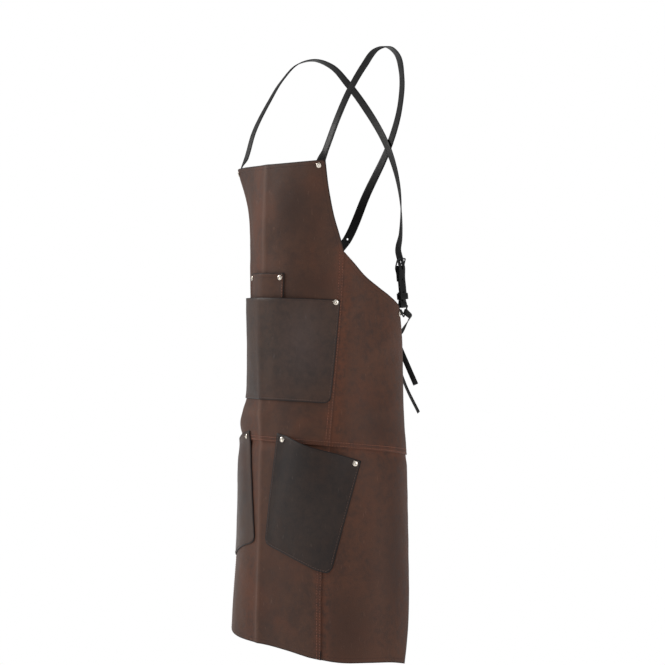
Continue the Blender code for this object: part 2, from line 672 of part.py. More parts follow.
def make_rivets(panels, pockets, straps, tabs, metal):
    half = LEATHER / 2
    pocket_face = POCKET_LAYER + half
    strap_back = -half - BEHIND_GAP - STRAP
    tab_back = -TAB_BEHIND - CLEAR - TAB * 1.5
    for side, word in ((1, "left"), (-1, "right")):
        upper, hip = panels["upper_" + word], pockets[word]
        places = {
            "bib_rivet_": (BIB_RIVET, strap_back, half, [panels["bib"], straps[word]]),
            "pen_pocket_rivet_": (PEN_RIVET, -half, pocket_face, [panels["bib"], pockets["pen"]]),
            "chest_pocket_rivet_": (CHEST_RIVET, -half, pocket_face, [panels["bib"], pockets["chest"]]),
            "hip_pocket_inner_rivet_": (HIP_RIVETS[0], -half, pocket_face, [panels["bib"], hip]),
            "hip_pocket_outer_rivet_": (HIP_RIVETS[1], -half, pocket_face, [panels["lower_" + word], hip]),
            "side_rivet_": (SIDE_RIVET, tab_back, half, [upper, tabs[word]]),
        }
        for name, ((across, down), inner, outer, pierced) in places.items():
            rivet(name + word, side * across, down, inner, outer, pierced, metal)


remove_everything()
body_leather = material("body_leather", (0.105, 0.052, 0.032), 0.6)
pocket_leather = material("pocket_leather", (0.058, 0.034, 0.024), 0.5)
strap_leather = material("strap_leather", (0.017, 0.015, 0.016), 0.45)
nickel = material("nickel", (0.80, 0.72, 0.62), 0.25, 1.0)
black_steel = material("black_steel", (0.03, 0.03, 0.033), 0.35, 1.0)

panels = make_panels(body_leather)
pockets = make_pockets(pocket_leather)
straps = {
    "left": make_shoulder_strap(1, "left", 0.0032, strap_leather),
    "right": make_shoulder_strap(-1, "right", 0.0, strap_leather),
}
tabs = {}
for side, word in ((1, "left"), (-1, "right")):
    make_buckle_strap(side, word, strap_leather)
    make_buckle(side, word, black_steel)
    make_side_ring(side, word, black_steel)
    make_keeper(side, word, strap_leather)
    tabs[word] = make_side_tab(side, word, strap_leather)
    make_waist_tie(side, word, strap_leather)
make_bow(strap_leather)
make_rivets(panels, pockets, straps, tabs, nickel)
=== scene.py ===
from math import cos, pi, radians, sin

import bmesh
import bpy
import numpy as np
from mathutils import Matrix, Vector, noise


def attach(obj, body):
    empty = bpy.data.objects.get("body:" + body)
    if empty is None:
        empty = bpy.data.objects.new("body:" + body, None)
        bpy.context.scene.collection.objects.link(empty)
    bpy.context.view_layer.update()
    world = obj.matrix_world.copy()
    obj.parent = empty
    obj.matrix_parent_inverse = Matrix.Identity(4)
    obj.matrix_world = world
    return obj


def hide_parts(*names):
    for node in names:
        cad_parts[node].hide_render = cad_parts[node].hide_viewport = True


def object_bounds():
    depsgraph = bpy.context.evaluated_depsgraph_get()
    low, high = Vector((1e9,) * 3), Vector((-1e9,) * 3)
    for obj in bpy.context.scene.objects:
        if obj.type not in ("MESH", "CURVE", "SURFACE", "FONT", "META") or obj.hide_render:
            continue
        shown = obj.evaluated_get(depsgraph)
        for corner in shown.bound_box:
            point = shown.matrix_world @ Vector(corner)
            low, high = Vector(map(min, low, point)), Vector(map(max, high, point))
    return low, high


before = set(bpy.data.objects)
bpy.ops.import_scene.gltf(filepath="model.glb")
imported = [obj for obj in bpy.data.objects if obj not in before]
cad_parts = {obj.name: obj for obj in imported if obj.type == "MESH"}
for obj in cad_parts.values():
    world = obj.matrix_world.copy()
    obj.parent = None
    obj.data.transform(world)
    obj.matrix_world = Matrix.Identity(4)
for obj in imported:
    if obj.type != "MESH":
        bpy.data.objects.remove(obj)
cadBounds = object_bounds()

# A cross-back work apron of thick pull-up leather, in the shape that it has when worn.
# The wearer faces -Y and the wearer's left is +X. A place on the leather is (across, down) on the
# flat pattern: metres sideways from the middle, and metres below the bib's top edge.

form = {
    "bibTop": -0.204,
    "waist": 0.475,
    # half width, half depth and front of the worn ellipse at each level below the bib's top
    "level": (0.0, 0.05, 0.11, 0.25, 0.40, 0.475, 0.65, 0.83),
    "halfWidth": (0.190, 0.152, 0.131, 0.136, 0.147, 0.165, 0.185, 0.197),
    "halfDepth": (0.130, 0.128, 0.130, 0.131, 0.132, 0.130, 0.129, 0.128),
    "frontY": (-0.180, -0.182, -0.1835, -0.1855, -0.188, -0.1885, -0.190, -0.191),
    "sagLevel": (0.0, 0.23, 0.475, 0.83),
    "sag": (-0.018, 0.020, 0.026, 0.034),
    "sagAt": 0.33,
}

hide = {
    "thickness": 0.0018,
    "cell": 0.0046,  # side of a face of the mesh
    "lap": 0.010,  # how far one panel runs under the next
    "lapStep": 0.00195,  # how much lower it lies there
    "lapFade": 0.020,  # and how far from the seam it is back at the top
    "edgeRound": 0.0003,
}

# Edges of the leather on the flat pattern, for the wearer's left half.
pattern = {
    "bibEdge": ((0.1346, 0.0), (0.1343, 0.056), (0.139, 0.092), (0.147, 0.122), (0.1545, 0.148)),
    "seam": ((0.1545, 0.148), (0.1532, 0.229), (0.1447, 0.397), (0.1436, 0.475)),
    "skirtSeam": ((0.1436, 0.475), (0.137, 0.689), (0.1387, 0.830)),
    "armhole": ((0.1545, 0.148), (0.1725, 0.1661), (0.1926, 0.1854), (0.2224, 0.2023), (0.254, 0.2147),
                (0.2925, 0.2275)),
    "sideEdge": ((0.2925, 0.2275), (0.302, 0.250), (0.322, 0.2975), (0.326, 0.383), (0.331, 0.475)),
    "skirtSide": ((0.331, 0.475), (0.322, 0.649), (0.312, 0.755), (0.298, 0.820)),
    "hemCentre": ((0.0, 0.823), (0.07, 0.826), (0.115, 0.8295)),
    "hemSide": ((0.176, 0.829), (0.22, 0.8235), (0.263, 0.8195)),
}


def smooth(xs, ys, x):
    # cubic through the given values, with slopes from their neighbours
    xs, ys, x = np.array(xs, float), np.array(ys, float), np.asarray(x, float)
    slopes = np.gradient(ys, xs)
    i = np.clip(np.searchsorted(xs, x) - 1, 0, len(xs) - 2)
    w = xs[i + 1] - xs[i]
    t = (x - xs[i]) / w
    rise = (2 * t**3 - 3 * t**2 + 1) * ys[i] + (3 * t**2 - 2 * t**3) * ys[i + 1]
    return rise + w * ((t**3 - 2 * t**2 + t) * slopes[i] + (t**3 - t**2) * slopes[i + 1])


def straight(xs, ys, x):
    return np.interp(x, xs, ys)


def runOf(line):
    # the length along a line up to each of its points
    return np.concatenate([[0], np.cumsum(np.linalg.norm(np.diff(line, axis=0), axis=1))])


def alongLine(line, shares, curve=straight):
    # points at the given shares of a line's length
    line = np.array(line, float)
    run = runOf(line)
    return np.stack([curve(run, column, np.asarray(shares) * run[-1]) for column in line.T], axis=-1)


def rounded(points, count=60):
    return alongLine(points, np.linspace(0, 1, count), smooth)


quarterTurns = np.linspace(0, pi, 181)


def onForm(across, down):
    # places of the worn leather's middle surface, as an array of points
    across, down = np.atleast_1d(across).astype(float), np.atleast_1d(down).astype(float)
    level = form["level"]
    wide, deep = (smooth(level, form[key], down)[:, None] for key in ("halfWidth", "halfDepth"))
    ellipse = np.stack([wide * np.sin(quarterTurns), deep * (1 - np.cos(quarterTurns))], axis=-1)
    steps = np.linalg.norm(np.diff(ellipse, axis=1), axis=-1)
    arc = np.concatenate([np.zeros((len(across), 1)), np.cumsum(steps, axis=1)], axis=1)
    far = np.abs(across)
    i = np.clip((arc < far[:, None]).sum(axis=1) - 1, 0, len(quarterTurns) - 2)
    rows = np.arange(len(across))
    t = ((far - arc[rows, i]) / (arc[rows, i + 1] - arc[rows, i]))[:, None]
    x, y = (ellipse[rows, i] + t * (ellipse[rows, i + 1] - ellipse[rows, i])).T
    drop = smooth(form["sagLevel"], form["sag"], down) * (across / form["sagAt"]) ** 2
    front = smooth(level, form["frontY"], down)
    return np.stack([np.where(across < 0, -x, x), front + y, form["bibTop"] - down - drop], axis=1)


def outwardWay(across, down):
    step = 0.002
    sideways = onForm(across + step, down) - onForm(across - step, down)
    downward = onForm(across, down + step) - onForm(across, np.maximum(down - step, 0.0))
    way = np.cross(downward, sideways)
    return way / np.linalg.norm(way, axis=1, keepdims=True)


def bell(x, width):
    return np.exp(-((x / width) ** 2))


def spot(across, down, patch):
    # a soft round patch: middle, how much, and how wide across and down
    (a, d), much, (wide, tall) = patch
    return much * bell(across - a, wide) * bell(down - d, tall)


def spots(across, down, patches):
    return sum(spot(across, down, patch) for patch in patches)


def nearLine(across, down, start, end):
    # distance from a line on the pattern, and the share along it
    a, b = np.array(start), np.array(end)
    length = np.linalg.norm(b - a)
    offset = np.stack([across - a[0], down - a[1]], axis=-1)
    share = np.clip(offset @ ((b - a) / length) / length, 0, 1)
    return np.linalg.norm(offset - share[..., None] * (b - a), axis=-1), share


# Folds that the leather holds: from, to, height, width.
folds = (
    ((-0.118, 0.020), (-0.062, 0.215), 0.0048, 0.014),
    ((0.112, 0.020), (0.072, 0.150), 0.0012, 0.022),
    ((-0.105, 0.418), (0.010, 0.430), 0.0034, 0.012),
    ((-0.110, 0.445), (-0.020, 0.455), -0.0016, 0.012),
    ((0.205, 0.215), (0.150, 0.270), 0.0012, 0.010),
    ((0.285, 0.265), (0.200, 0.330), 0.0014, 0.022),
    ((0.300, 0.400), (0.180, 0.430), 0.0016, 0.024),
    ((-0.285, 0.265), (-0.200, 0.330), 0.0014, 0.022),
    ((-0.070, 0.500), (-0.050, 0.800), 0.0022, 0.030),
    ((0.245, 0.520), (0.235, 0.810), 0.0020, 0.035),
    ((-0.235, 0.500), (-0.245, 0.810), 0.0024, 0.034),
)
# Where the hanging leather leans out or in: middle, how far, and how wide across and down.
leans = (
    ((-0.160, 0.000), 0.0105, (0.060, 0.080)),
    ((-0.100, 0.447), 0.0095, (0.055, 0.024)),
    ((-0.095, 0.480), -0.0030, (0.055, 0.026)),
    ((-0.090, 0.860), 0.0140, (0.075, 0.170)),
)
liftAt = ((-0.140, 0.860), 0.0200, (0.080, 0.120))  # where the hem rides up
crease = {"height": 0.0034, "width": 0.013, "across": 0.006}  # down the middle, from being stored folded


def fromCrease(across, down):
    return across - crease["across"] * np.clip(1 - down / 0.6, 0, 1)


def relief(across, down):
    # how far the leather stands out from the form: the middle crease, folds, and small dents
    height = crease["height"] * np.exp(-np.abs(fromCrease(across, down)) / crease["width"])
    height = height * (1 + 0.25 * np.sin(17 * down + 1)) + spots(across, down, leans)
    for start, end, rise, width in folds:
        distance, share = nearLine(across, down, start, end)
        height = height + rise * bell(distance, width) * np.sin(pi * (0.12 + 0.76 * share))
    hang = np.clip((down - 0.50) / 0.33, 0, 1) ** 1.4
    height = height + 0.0022 * hang * np.sin(across * 33 + 0.9 + 2.2 * down)
    dents = [0.0011 * noise.noise((a * 17, d * 13, 0.3)) + 0.00045 * noise.noise((a * 46, d * 38, 4.1))
             for a, d in zip(across, down)]
    return height + np.array(dents)


def paleBendsAndHighlight(across, down):
    # where bending has made the waxed leather paler, with a painted highlight on the lit side of the middle
    # crease and along the folds, from 0 to 1
    # painted highlight: a pale strip on the side of the middle crease that faces the light
    shade = 0.42 * bell(fromCrease(across, down) + 0.004, 0.0050)
    for start, end, rise, width in folds:
        distance, share = nearLine(across, down, start, end)
        # pale along each fold's ridge: partly real pull-up paleness, partly painted highlight
        shade = shade + max(rise, 0) * 80 * bell(distance, width * 0.55) * np.sin(pi * (0.1 + 0.8 * share))
    return np.clip(shade, 0, 1)


def warmthAndLitBand(across, down):
    # where handling and sewing have brought out the red of the leather, with a painted lit band on the side
    # of the middle crease that faces the light, from 0 to 1
    beside, onBib = np.abs(np.abs(across) - seamAt(down)), down > 0.14
    shade = 0.9 * bell(beside - 0.005, 0.009) * onBib + 0.7 * bell(down - form["waist"], 0.010)
    # painted lit band: the side of the middle crease that faces the light made redder and lighter
    shade = shade + 0.60 * bell(across + 0.022, 0.020) + 0.30 * (np.abs(across) > seamAt(down)) * onBib
    return np.clip(shade, 0, 1)


# Patches of painted shade: darker leather where less light falls.
shadedPatches = (
    ((0.075, 0.075), 0.75, (0.038, 0.052)),
    ((0.100, 0.205), 0.60, (0.045, 0.022)),
    ((0.265, 0.640), 0.70, (0.040, 0.110)),
    ((0.185, 0.775), 0.75, (0.038, 0.060)),
    ((0.030, 0.700), 0.35, (0.040, 0.060)),
    ((0.225, 0.425), 0.55, (0.035, 0.035)),
    ((-0.200, 0.600), 0.50, (0.060, 0.080)),
)
# Patches of painted sheen on the pockets: paler, greyer leather where light reflects off them.
sheenPatches = {"chest_pocket": ((0.088, 0.300), 0.50, (0.038, 0.075)),
        "pen_pocket": ((0.0, 0.230), 0.10, (0.050, 0.050)),
        "hip_pocket_left": ((0.120, 0.600), 0.12, (0.040, 0.050)),
        "hip_pocket_right": ((-0.120, 0.520), 0.30, (0.050, 0.090))}


def seamAt(down):
    line = pattern["seam"] + pattern["skirtSeam"][1:]
    return np.interp(down, [d for _, d in line], [a for a, _ in line])


def fadeFrom(distance):
    t = np.clip(distance / hide["lapFade"], 0, 1)
    return 1 - t * t * (3 - 2 * t)


def lapDepth(across, down, besideSeam, belowWaist):
    # how far a panel lies below the top layer, near the seams where it runs under its neighbour
    beside = fadeFrom(np.abs(across) - seamAt(down)) * besideSeam
    below = fadeFrom(down - form["waist"]) * belowWaist
    return -hide["lapStep"] * (beside + below)


def topDepth(across, down):
    return lapDepth(across, down, np.abs(across) > seamAt(down), down > form["waist"])


def placed(across, down, out):
    # points on the leather, this far out from its middle surface
    across, down = np.atleast_1d(across).astype(float), np.atleast_1d(down).astype(float)
    points = onForm(across, down) + outwardWay(across, down) * (relief(across, down) + out)[:, None]
    points[:, 2] += spot(across, down, liftAt)
    return points


def patch(top, foot, left, right):
    # a grid of (across, down) that fills the space between four edges
    edges = [np.array(e, float) for e in (top, foot, left, right)]
    runs = [runOf(e)[-1] for e in edges]
    columns = 2 * max(3, round(max(runs[:2]) / hide["cell"] / 2))
    rows = max(4, round(max(runs[2:]) / hide["cell"]))
    u, v = np.linspace(0, 1, columns + 1), np.linspace(0, 1, rows + 1)
    top, foot = (alongLine(e, u)[None] for e in edges[:2])
    left, right = (alongLine(e, v)[:, None] for e in edges[2:])
    u, v = u[None, :, None], v[:, None, None]
    inside = (1 - v) * top + v * foot + (1 - u) * left + u * right
    first, last = ((1 - v) * top[:, k] + v * foot[:, k] for k in ([0], [-1]))
    return inside - (1 - u) * first - u * last


def mirrored(grid):
    return grid[:, ::-1] * np.array([-1.0, 1.0])


def otherSide(points):
    return np.array(points, float) * np.array([-1.0, 1.0])


def bothWays(edge, foot=None):
    # a grid between an edge and its mirror image
    mirror = otherSide(edge)
    return patch([mirror[0], edge[0]], [mirror[-1], edge[-1]] if foot is None else foot, mirror, edge)


def shifted(points, across):
    return np.array(points, float) + np.array([across, 0.0])


def outlineOf(grid):
    return np.concatenate([grid[0], grid[1:, -1], grid[-1, -2::-1], grid[-2:0:-1, 0]])


def flatArea(grid):
    a, d = outlineOf(grid).T
    return abs(np.dot(a, np.roll(d, -1)) - np.dot(d, np.roll(a, -1))) / 2


def flatSize(grid):
    return tuple(float(size) for size in np.ptp(outlineOf(grid), axis=0))


def sewnDown(a, b):
    # whether this stretch of a panel's edge lies in a seam
    across, down = abs(a[0] + b[0]) / 2, (a[1] + b[1]) / 2
    besideSeam = abs(across - seamAt(down)) < 0.012 and 0.150 < down < 0.815
    return besideSeam or abs(down - form["waist"]) < 0.012


def rimDistance(grid, leftOut=None):
    # distance of each grid point from the panel's edge, on the pattern
    edge = outlineOf(grid)
    points = grid.reshape(-1, 2)
    best = np.full(len(points), 1.0)
    for a, b in zip(edge, np.roll(edge, -1, axis=0)):
        if leftOut and leftOut(a, b):
            continue
        way = b - a
        share = np.clip(((points - a) @ way) / max(way @ way, 1e-12), 0, 1)
        best = np.minimum(best, np.linalg.norm(points - (a + share[:, None] * way), axis=1))
    return best


class Flow:
    # a shader socket that takes part in sums
    def __init__(self, tree, socket=None):
        self.tree, self.socket = tree, socket

    def node(self, kind, settings=None, inputs=None, output=0):
        made = self.tree.nodes.new("ShaderNode" + kind)
        for key, value in (settings or {}).items():
            setattr(made, key, value)
        for key, value in (inputs or {}).items():
            if isinstance(value, Flow):
                self.tree.links.new(value.socket, made.inputs[key])
            else:
                made.inputs[key].default_value = value
        return Flow(self.tree, made.outputs[output])

    def maths(self, operation, *values):
        return self.node("Math", {"operation": operation}, dict(enumerate(values)))

    def __add__(self, other):
        return self.maths("ADD", self, other)

    def __sub__(self, other):
        return self.maths("SUBTRACT", self, other)

    def __rsub__(self, other):
        return self.maths("SUBTRACT", other, self)

    def __mul__(self, other):
        return self.maths("MULTIPLY", self, other)

    __radd__ = __add__
    __rmul__ = __mul__

    def between(self, low, high):
        # 0 below low, 1 above high, and smooth in the middle
        settings = {"interpolation_type": "SMOOTHSTEP"}
        return self.node("MapRange", settings, {0: self, 1: low, 2: high, 3: 0.0, 4: 1.0})

    def tint(self, first, second):
        # the first colour where this value is 0, and the second where it is 1
        colours = [c if isinstance(c, Flow) else (*c, 1.0) for c in (first, second)]
        return self.node("Mix", {"data_type": "RGBA"}, {0: self, 6: colours[0], 7: colours[1]}, 2)

    def stretched(self, scale):
        # these places, drawn out one way to make streaks
        return self.node("Mapping", {}, {"Vector": self, "Rotation": (0.3, 0.5, 0.9), "Scale": scale})

    def noise(self, scale, detail, roughness=0.5, distortion=0.0):
        settings = {"Scale": scale, "Detail": detail, "Roughness": roughness, "Distortion": distortion}
        return self.node("TexNoise", {}, {"Vector": self, **settings})

    def held(self, name):
        # a value that the mesh holds at each of its points
        return self.node("Attribute", {"attribute_name": name}, {}, 2)


def newMaterial(name):
    mat = bpy.data.materials.new(name)
    mat.use_nodes = True
    return mat, mat.node_tree.nodes["Principled BSDF"], Flow(mat.node_tree).node("TexCoord", {}, {}, 3)


def finished(mat, shader, plain, colour, roughness, height):
    # plain is the piece's colour in the solid view
    bump = height.node("Bump", {}, {"Strength": 1.0, "Distance": 1.0, "Height": height})
    for name, value in (("Base Color", colour), ("Roughness", roughness), ("Normal", bump)):
        mat.node_tree.links.new(value.socket, shader.inputs[name])
    mat.diffuse_color = (*plain, 1.0)
    return mat


# in each look, pale tints scratches, bends and the painted highlight and sheen, and dark tints mottling and
# the painted shade
bodyHide = {
    "base": (0.078, 0.038, 0.025), "dark": (0.053, 0.029, 0.022), "red": (0.118, 0.044, 0.025),
    "pale": (0.185, 0.100, 0.070), "edge": (0.012, 0.008, 0.007), "suede": (0.120, 0.066, 0.042),
    "roughness": 0.56, "wear": 0.15, "grain": 0.00010, "gloss": 0.16, "groove": (0.0022, 0.0078),
}
# the pocket's greyish pale is mostly painted sheen
pocketHide = {
    "base": (0.062, 0.036, 0.026), "dark": (0.038, 0.026, 0.022), "red": (0.084, 0.036, 0.023),
    "pale": (0.100, 0.083, 0.082), "edge": (0.009, 0.006, 0.006), "suede": (0.080, 0.052, 0.040),
    "roughness": 0.46, "wear": 0.14, "grain": 0.00009, "gloss": 0.20, "groove": (0.0034,),
}
hipHide = {
    "base": (0.033, 0.022, 0.018), "dark": (0.021, 0.016, 0.015), "red": (0.050, 0.026, 0.018),
    "pale": (0.090, 0.068, 0.060), "edge": (0.007, 0.005, 0.005), "suede": (0.070, 0.046, 0.036),
    "roughness": 0.50, "wear": 0.12, "grain": 0.00009, "gloss": 0.20, "groove": (0.0034,),
}
strapHide = {
    "base": (0.0085, 0.0075, 0.0080), "dark": (0.0055, 0.005, 0.0055), "red": (0.012, 0.0095, 0.0095),
    "pale": (0.030, 0.027, 0.028), "edge": (0.004, 0.004, 0.004), "suede": (0.018, 0.016, 0.015),
    "roughness": 0.46, "wear": 0.12, "grain": 0.00006, "gloss": 0.22, "groove": (0.0016,),
}


def leather(name, look):
    # waxed leather: broad light and dark patches, warm spots with a painted lit band, painted shade patches,
    # scuffs, grain, and paler bends with painted highlight and sheen
    mat, shader, where = newMaterial(name)
    rim, bendsAndSheen, redAndLit, free, oil = (where.held(word) for word in ("rim", "pull", "warmthAndLitBand", "free", "oil"))
    broad, cloud = where.noise(13.0, 8.0, 0.62), where.noise(80.0, 8.0, 0.7)
    fleck, warm = where.noise(210.0, 4.0, 0.7), where.noise(12.0, 5.0, distortion=0.4)
    scratch = where.stretched((60, 420, 60)).noise(1.0, 3.0)
    colour = (cloud * 0.45 + broad * 0.55).between(0.36, 0.60).tint(look["dark"], look["base"])
    colour = (warm.between(0.48, 0.72) * 0.40).tint(colour, look["red"])
    # red near seams and the waist, with a painted lit band beside the middle crease
    colour = (redAndLit * cloud.between(0.30, 0.62) * 0.85).tint(colour, look["red"])
    # painted shade: the leather darker in patches
    colour = (oil * (0.45 + cloud * 0.8)).tint(colour, [c * 0.80 for c in look["dark"]])
    colour = (fleck.between(0.52, 0.72) * 0.30).tint(colour, look["dark"])
    colour = (scratch.between(0.66, 0.74) * 0.22).tint(colour, look["pale"])
    # pale at bends, with a painted highlight by the crease and painted sheen on the pockets
    colour = (bendsAndSheen * (0.25 + 0.75 * cloud)).tint(colour, look["pale"])
    height = grainOf(where) * look["grain"] + cloud * 0.00025
    for depth in look["groove"]:
        line = 1 - where.maths("ABSOLUTE", rim - depth).between(0.0001, 0.0009)
        colour = (line * 0.22).tint(colour, look["edge"])
        height = height - line * 0.00018
    burnt = 1 - free.between(0.0006, 0.0021)
    colour = (burnt * 0.92).tint(colour, look["edge"])
    worn = look["roughness"] + (cloud - 0.5) * look["wear"] * 2 + (fleck - 0.5) * 0.10 - bendsAndSheen * 0.06
    shader.inputs["Specular IOR Level"].default_value = look["gloss"]
    return finished(mat, shader, look["base"], colour, worn, height)


def grainOf(where):
    # small rounded pebbles with pores between them, from 0 to 1
    pebbles = where.node("TexVoronoi", {"feature": "F1"}, {"Vector": where, "Scale": 620.0})
    return where.noise(900.0, 3.0) * 0.6 - pebbles.between(0.15, 0.75) * 0.7 + 0.6


def suede(name, look):
    # the fleshy inner side of the leather
    mat, shader, where = newMaterial(name)
    cloud, nap = where.noise(30.0, 6.0, 0.65), where.noise(1100.0, 3.0)
    colour = cloud.between(0.35, 0.65).tint([c * 0.72 for c in look["suede"]], look["suede"])
    colour = (nap.between(0.3, 0.7) * 0.35).tint(colour, look["dark"])
    shader.inputs["Sheen Weight"].default_value = 0.08
    shader.inputs["Sheen Roughness"].default_value = 0.6
    return finished(mat, shader, look["suede"], colour, 0.88 + (nap - 0.5) * 0.10, nap * 0.00018)


def cutEdge(name, look):
    # the cut edge, stained dark and rubbed smooth, and paler where it lies in a seam
    mat, shader, where = newMaterial(name)
    fibre = where.noise(700.0, 4.0)
    stained = fibre.between(0.35, 0.7).tint(look["edge"], [c * 1.9 for c in look["edge"]])
    colour = where.held("free").between(0.002, 0.004).tint(stained, look["red"])
    return finished(mat, shader, look["edge"], colour, 0.5 + fibre * 0.2, fibre * 0.00012)


metals = {
    "nickel": {"bright": (0.86, 0.79, 0.70), "dull": (0.60, 0.53, 0.45), "roughness": 0.24, "metallic": 1.0},
    "blackSteel": {"bright": (0.030, 0.030, 0.034), "dull": (0.014, 0.014, 0.016), "roughness": 0.34,
                   "metallic": 0.6},
}


def metal(name):
    # plated metal with a faint haze and fine wear
    look = metals[name]
    mat, shader, where = newMaterial(name)
    haze, rub = where.noise(260.0, 5.0, 0.65), where.stretched((300, 2600, 300)).noise(1.0, 2.0)
    colour = haze.between(0.38, 0.62).tint(look["dull"], look["bright"])
    shader.inputs["Metallic"].default_value = look["metallic"]
    roughness = look["roughness"] + (haze - 0.5) * 0.22 + (rub - 0.5) * 0.10
    return finished(mat, shader, look["bright"], colour, roughness, rub * 0.00002)


threadColours = {"rust": ((0.270, 0.092, 0.052), (0.160, 0.058, 0.036)),
                 "brown": ((0.105, 0.052, 0.036), (0.060, 0.033, 0.025)),
                 "black": ((0.030, 0.027, 0.027), (0.014, 0.013, 0.013))}


def waxedThread(name, light, dark):
    mat, shader, where = newMaterial(name)
    strands, dirt = where.stretched((900, 2400, 900)).noise(1.0, 2.0), where.noise(45.0, 4.0)
    colour = (strands * 0.5 + dirt * 0.5).between(0.38, 0.62).tint(dark, light)
    return finished(mat, shader, light, colour, 0.55 + (dirt - 0.5) * 0.2, strands * 0.00008)


skins = {}
for word, look in (("body", bodyHide), ("pocket", pocketHide), ("hip", hipHide), ("strap", strapHide)):
    skins[word] = [leather(word + "Leather", look), suede(word + "Suede", look), cutEdge(word + "Edge", look)]
nickel, blackSteel = metal("nickel"), metal("blackSteel")
threads = {word: waxedThread(word + "Thread", *colours) for word, colours in threadColours.items()}
print("materials made")


def linked(name, mesh, materials):
    obj = bpy.data.objects.new(name, mesh)
    bpy.context.scene.collection.objects.link(obj)
    for mat in materials:
        mesh.materials.append(mat)
    return obj


def meshOf(name, points, faces, values=None):
    mesh = bpy.data.meshes.new(name)
    mesh.from_pydata([tuple(p) for p in points], [], faces)
    for key, numbers in (values or {}).items():
        mesh.attributes.new(key, "FLOAT", "POINT").data.foreach_set("value", np.asarray(numbers, np.float32))
    mesh.shade_smooth()
    return mesh


def camel(node):
    first, *rest = node.split("_")
    return first + "".join(word.capitalize() for word in rest)


def stands(obj, node, body):
    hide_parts(node)
    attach(obj, body)
    return obj


def gridFaces(rows, columns):
    faces = []
    for j in range(rows - 1):
        for i in range(columns - 1):
            a = j * columns + i
            faces.append((a, a + columns, a + columns + 1, a + 1))
    return faces


def hidePiece(node, grid, out, skin):
    # a sheet of leather over the grid, thick, with softened cut edges
    across, down = grid.reshape(-1, 2).T
    isPanel = "_panel" in node
    rim = rimDistance(grid)
    # the values give paler bends with a painted highlight on panels, painted sheen on pockets, red with a
    # painted lit band, and painted shade patches
    values = {"rim": rim, "free": rimDistance(grid, sewnDown) if isPanel else rim,
              "pull": paleBendsAndHighlight(across, down) if isPanel else spot(across, down, sheenPatches[node]),
              "warmthAndLitBand": warmthAndLitBand(across, down) * isPanel, "oil": spots(across, down, shadedPatches) * isPanel}
    mesh = meshOf(camel(node), placed(across, down, out), gridFaces(*grid.shape[:2]), values)
    obj = linked(camel(node), mesh, skins[skin])
    solid = obj.modifiers.new("thickness", "SOLIDIFY")
    solid.thickness, solid.offset, solid.use_even_offset = hide["thickness"], 0.0, True
    solid.material_offset, solid.material_offset_rim = 1, 2
    soften = obj.modifiers.new("edges", "BEVEL")
    soften.width, soften.segments = hide["edgeRound"], 1
    soften.limit_method, soften.angle_limit = "ANGLE", radians(60)
    return obj


def layOut(node, grid, out, skin):
    obj = stands(hidePiece(node, grid, out, skin), node, "apron")
    print(node, "flat", [round(s, 3) for s in flatSize(grid)], "area", round(flatArea(grid), 4))


def makePanels():
    waist, lap = form["waist"], hide["lap"]
    seam, skirtSeam = rounded(pattern["seam"]), rounded(pattern["skirtSeam"])
    bibEdge = np.concatenate([rounded(pattern["bibEdge"])[:-1], seam])
    bib = bothWays(bibEdge)
    raised = np.concatenate([[[skirtSeam[0][0], waist - lap]], skirtSeam])
    hem = rounded([*otherSide(pattern["hemCentre"])[:0:-1], *pattern["hemCentre"]])
    hem = np.concatenate([[otherSide(raised)[-1]], hem, [raised[-1]]])
    skirt = bothWays(raised, hem)
    under = shifted(seam, -lap)
    armhole = np.concatenate([[under[0]], rounded(pattern["armhole"])])
    sideEdge = rounded(pattern["sideEdge"])
    upper = patch(armhole, [under[-1], sideEdge[-1]], under, sideEdge)
    inner = np.concatenate([[[skirtSeam[0][0] - lap, waist - lap]], shifted(skirtSeam, -lap)])
    outer = rounded(pattern["skirtSide"])
    outer = np.concatenate([[[outer[0][0] - 0.0008, waist - lap]], outer])
    foot = np.concatenate([[inner[-1]], rounded([skirtSeam[-1], *pattern["hemSide"], outer[-1]])])
    lower = patch([inner[0], outer[0]], foot, inner, outer)
    shapes = {"bib_panel": (bib, 0, 0, ["shoulder_strap_left", "shoulder_strap_right"]),
              "skirt_centre_panel": (skirt, 0, 1, ["bib_panel"])}
    for word, turn in (("left", np.array), ("right", mirrored)):
        shapes["upper_side_panel_" + word] = (turn(upper), 1, 0, ["bib_panel"])
        shapes["skirt_side_panel_" + word] = (turn(lower), 1, 1, ["upper_side_panel_" + word])
    for node, (grid, beside, below, upon) in shapes.items():
        out = lapDepth(*grid.reshape(-1, 2).T, beside, below)
        layOut(node, grid, out, "body")


pockets = {
    "layer": 0.0021,  # middle of a pocket's leather above the middle of the panel's, where it is sewn down
    "flatEdge": 0.11,
    "chest": {"halfTop": 0.150, "halfFoot": 0.139, "top": 0.2290, "foot": 0.4035, "corner": 0.012,
              "bulge": 0.0105},
    "pen": {"halfTop": 0.051, "halfFoot": 0.050, "top": 0.1866, "foot": 0.330, "corner": 0.006,
            "bulge": 0.0050},
    "hipTop": ((0.0420, 0.4593), (0.0676, 0.4640), (0.0965, 0.4732), (0.1248, 0.4801), (0.1475, 0.4843),
               (0.1971, 0.4942)),
    "hipFoot": ((0.0155, 0.640), (0.0188, 0.6490), (0.0270, 0.6530), (0.0501, 0.6592), (0.0946, 0.6724),
                (0.1380, 0.6838), (0.1480, 0.6840), (0.1560, 0.6750)),
    "hipBulge": {"left": 0.0100, "right": 0.0060},  # the right one is pressed flatter
}


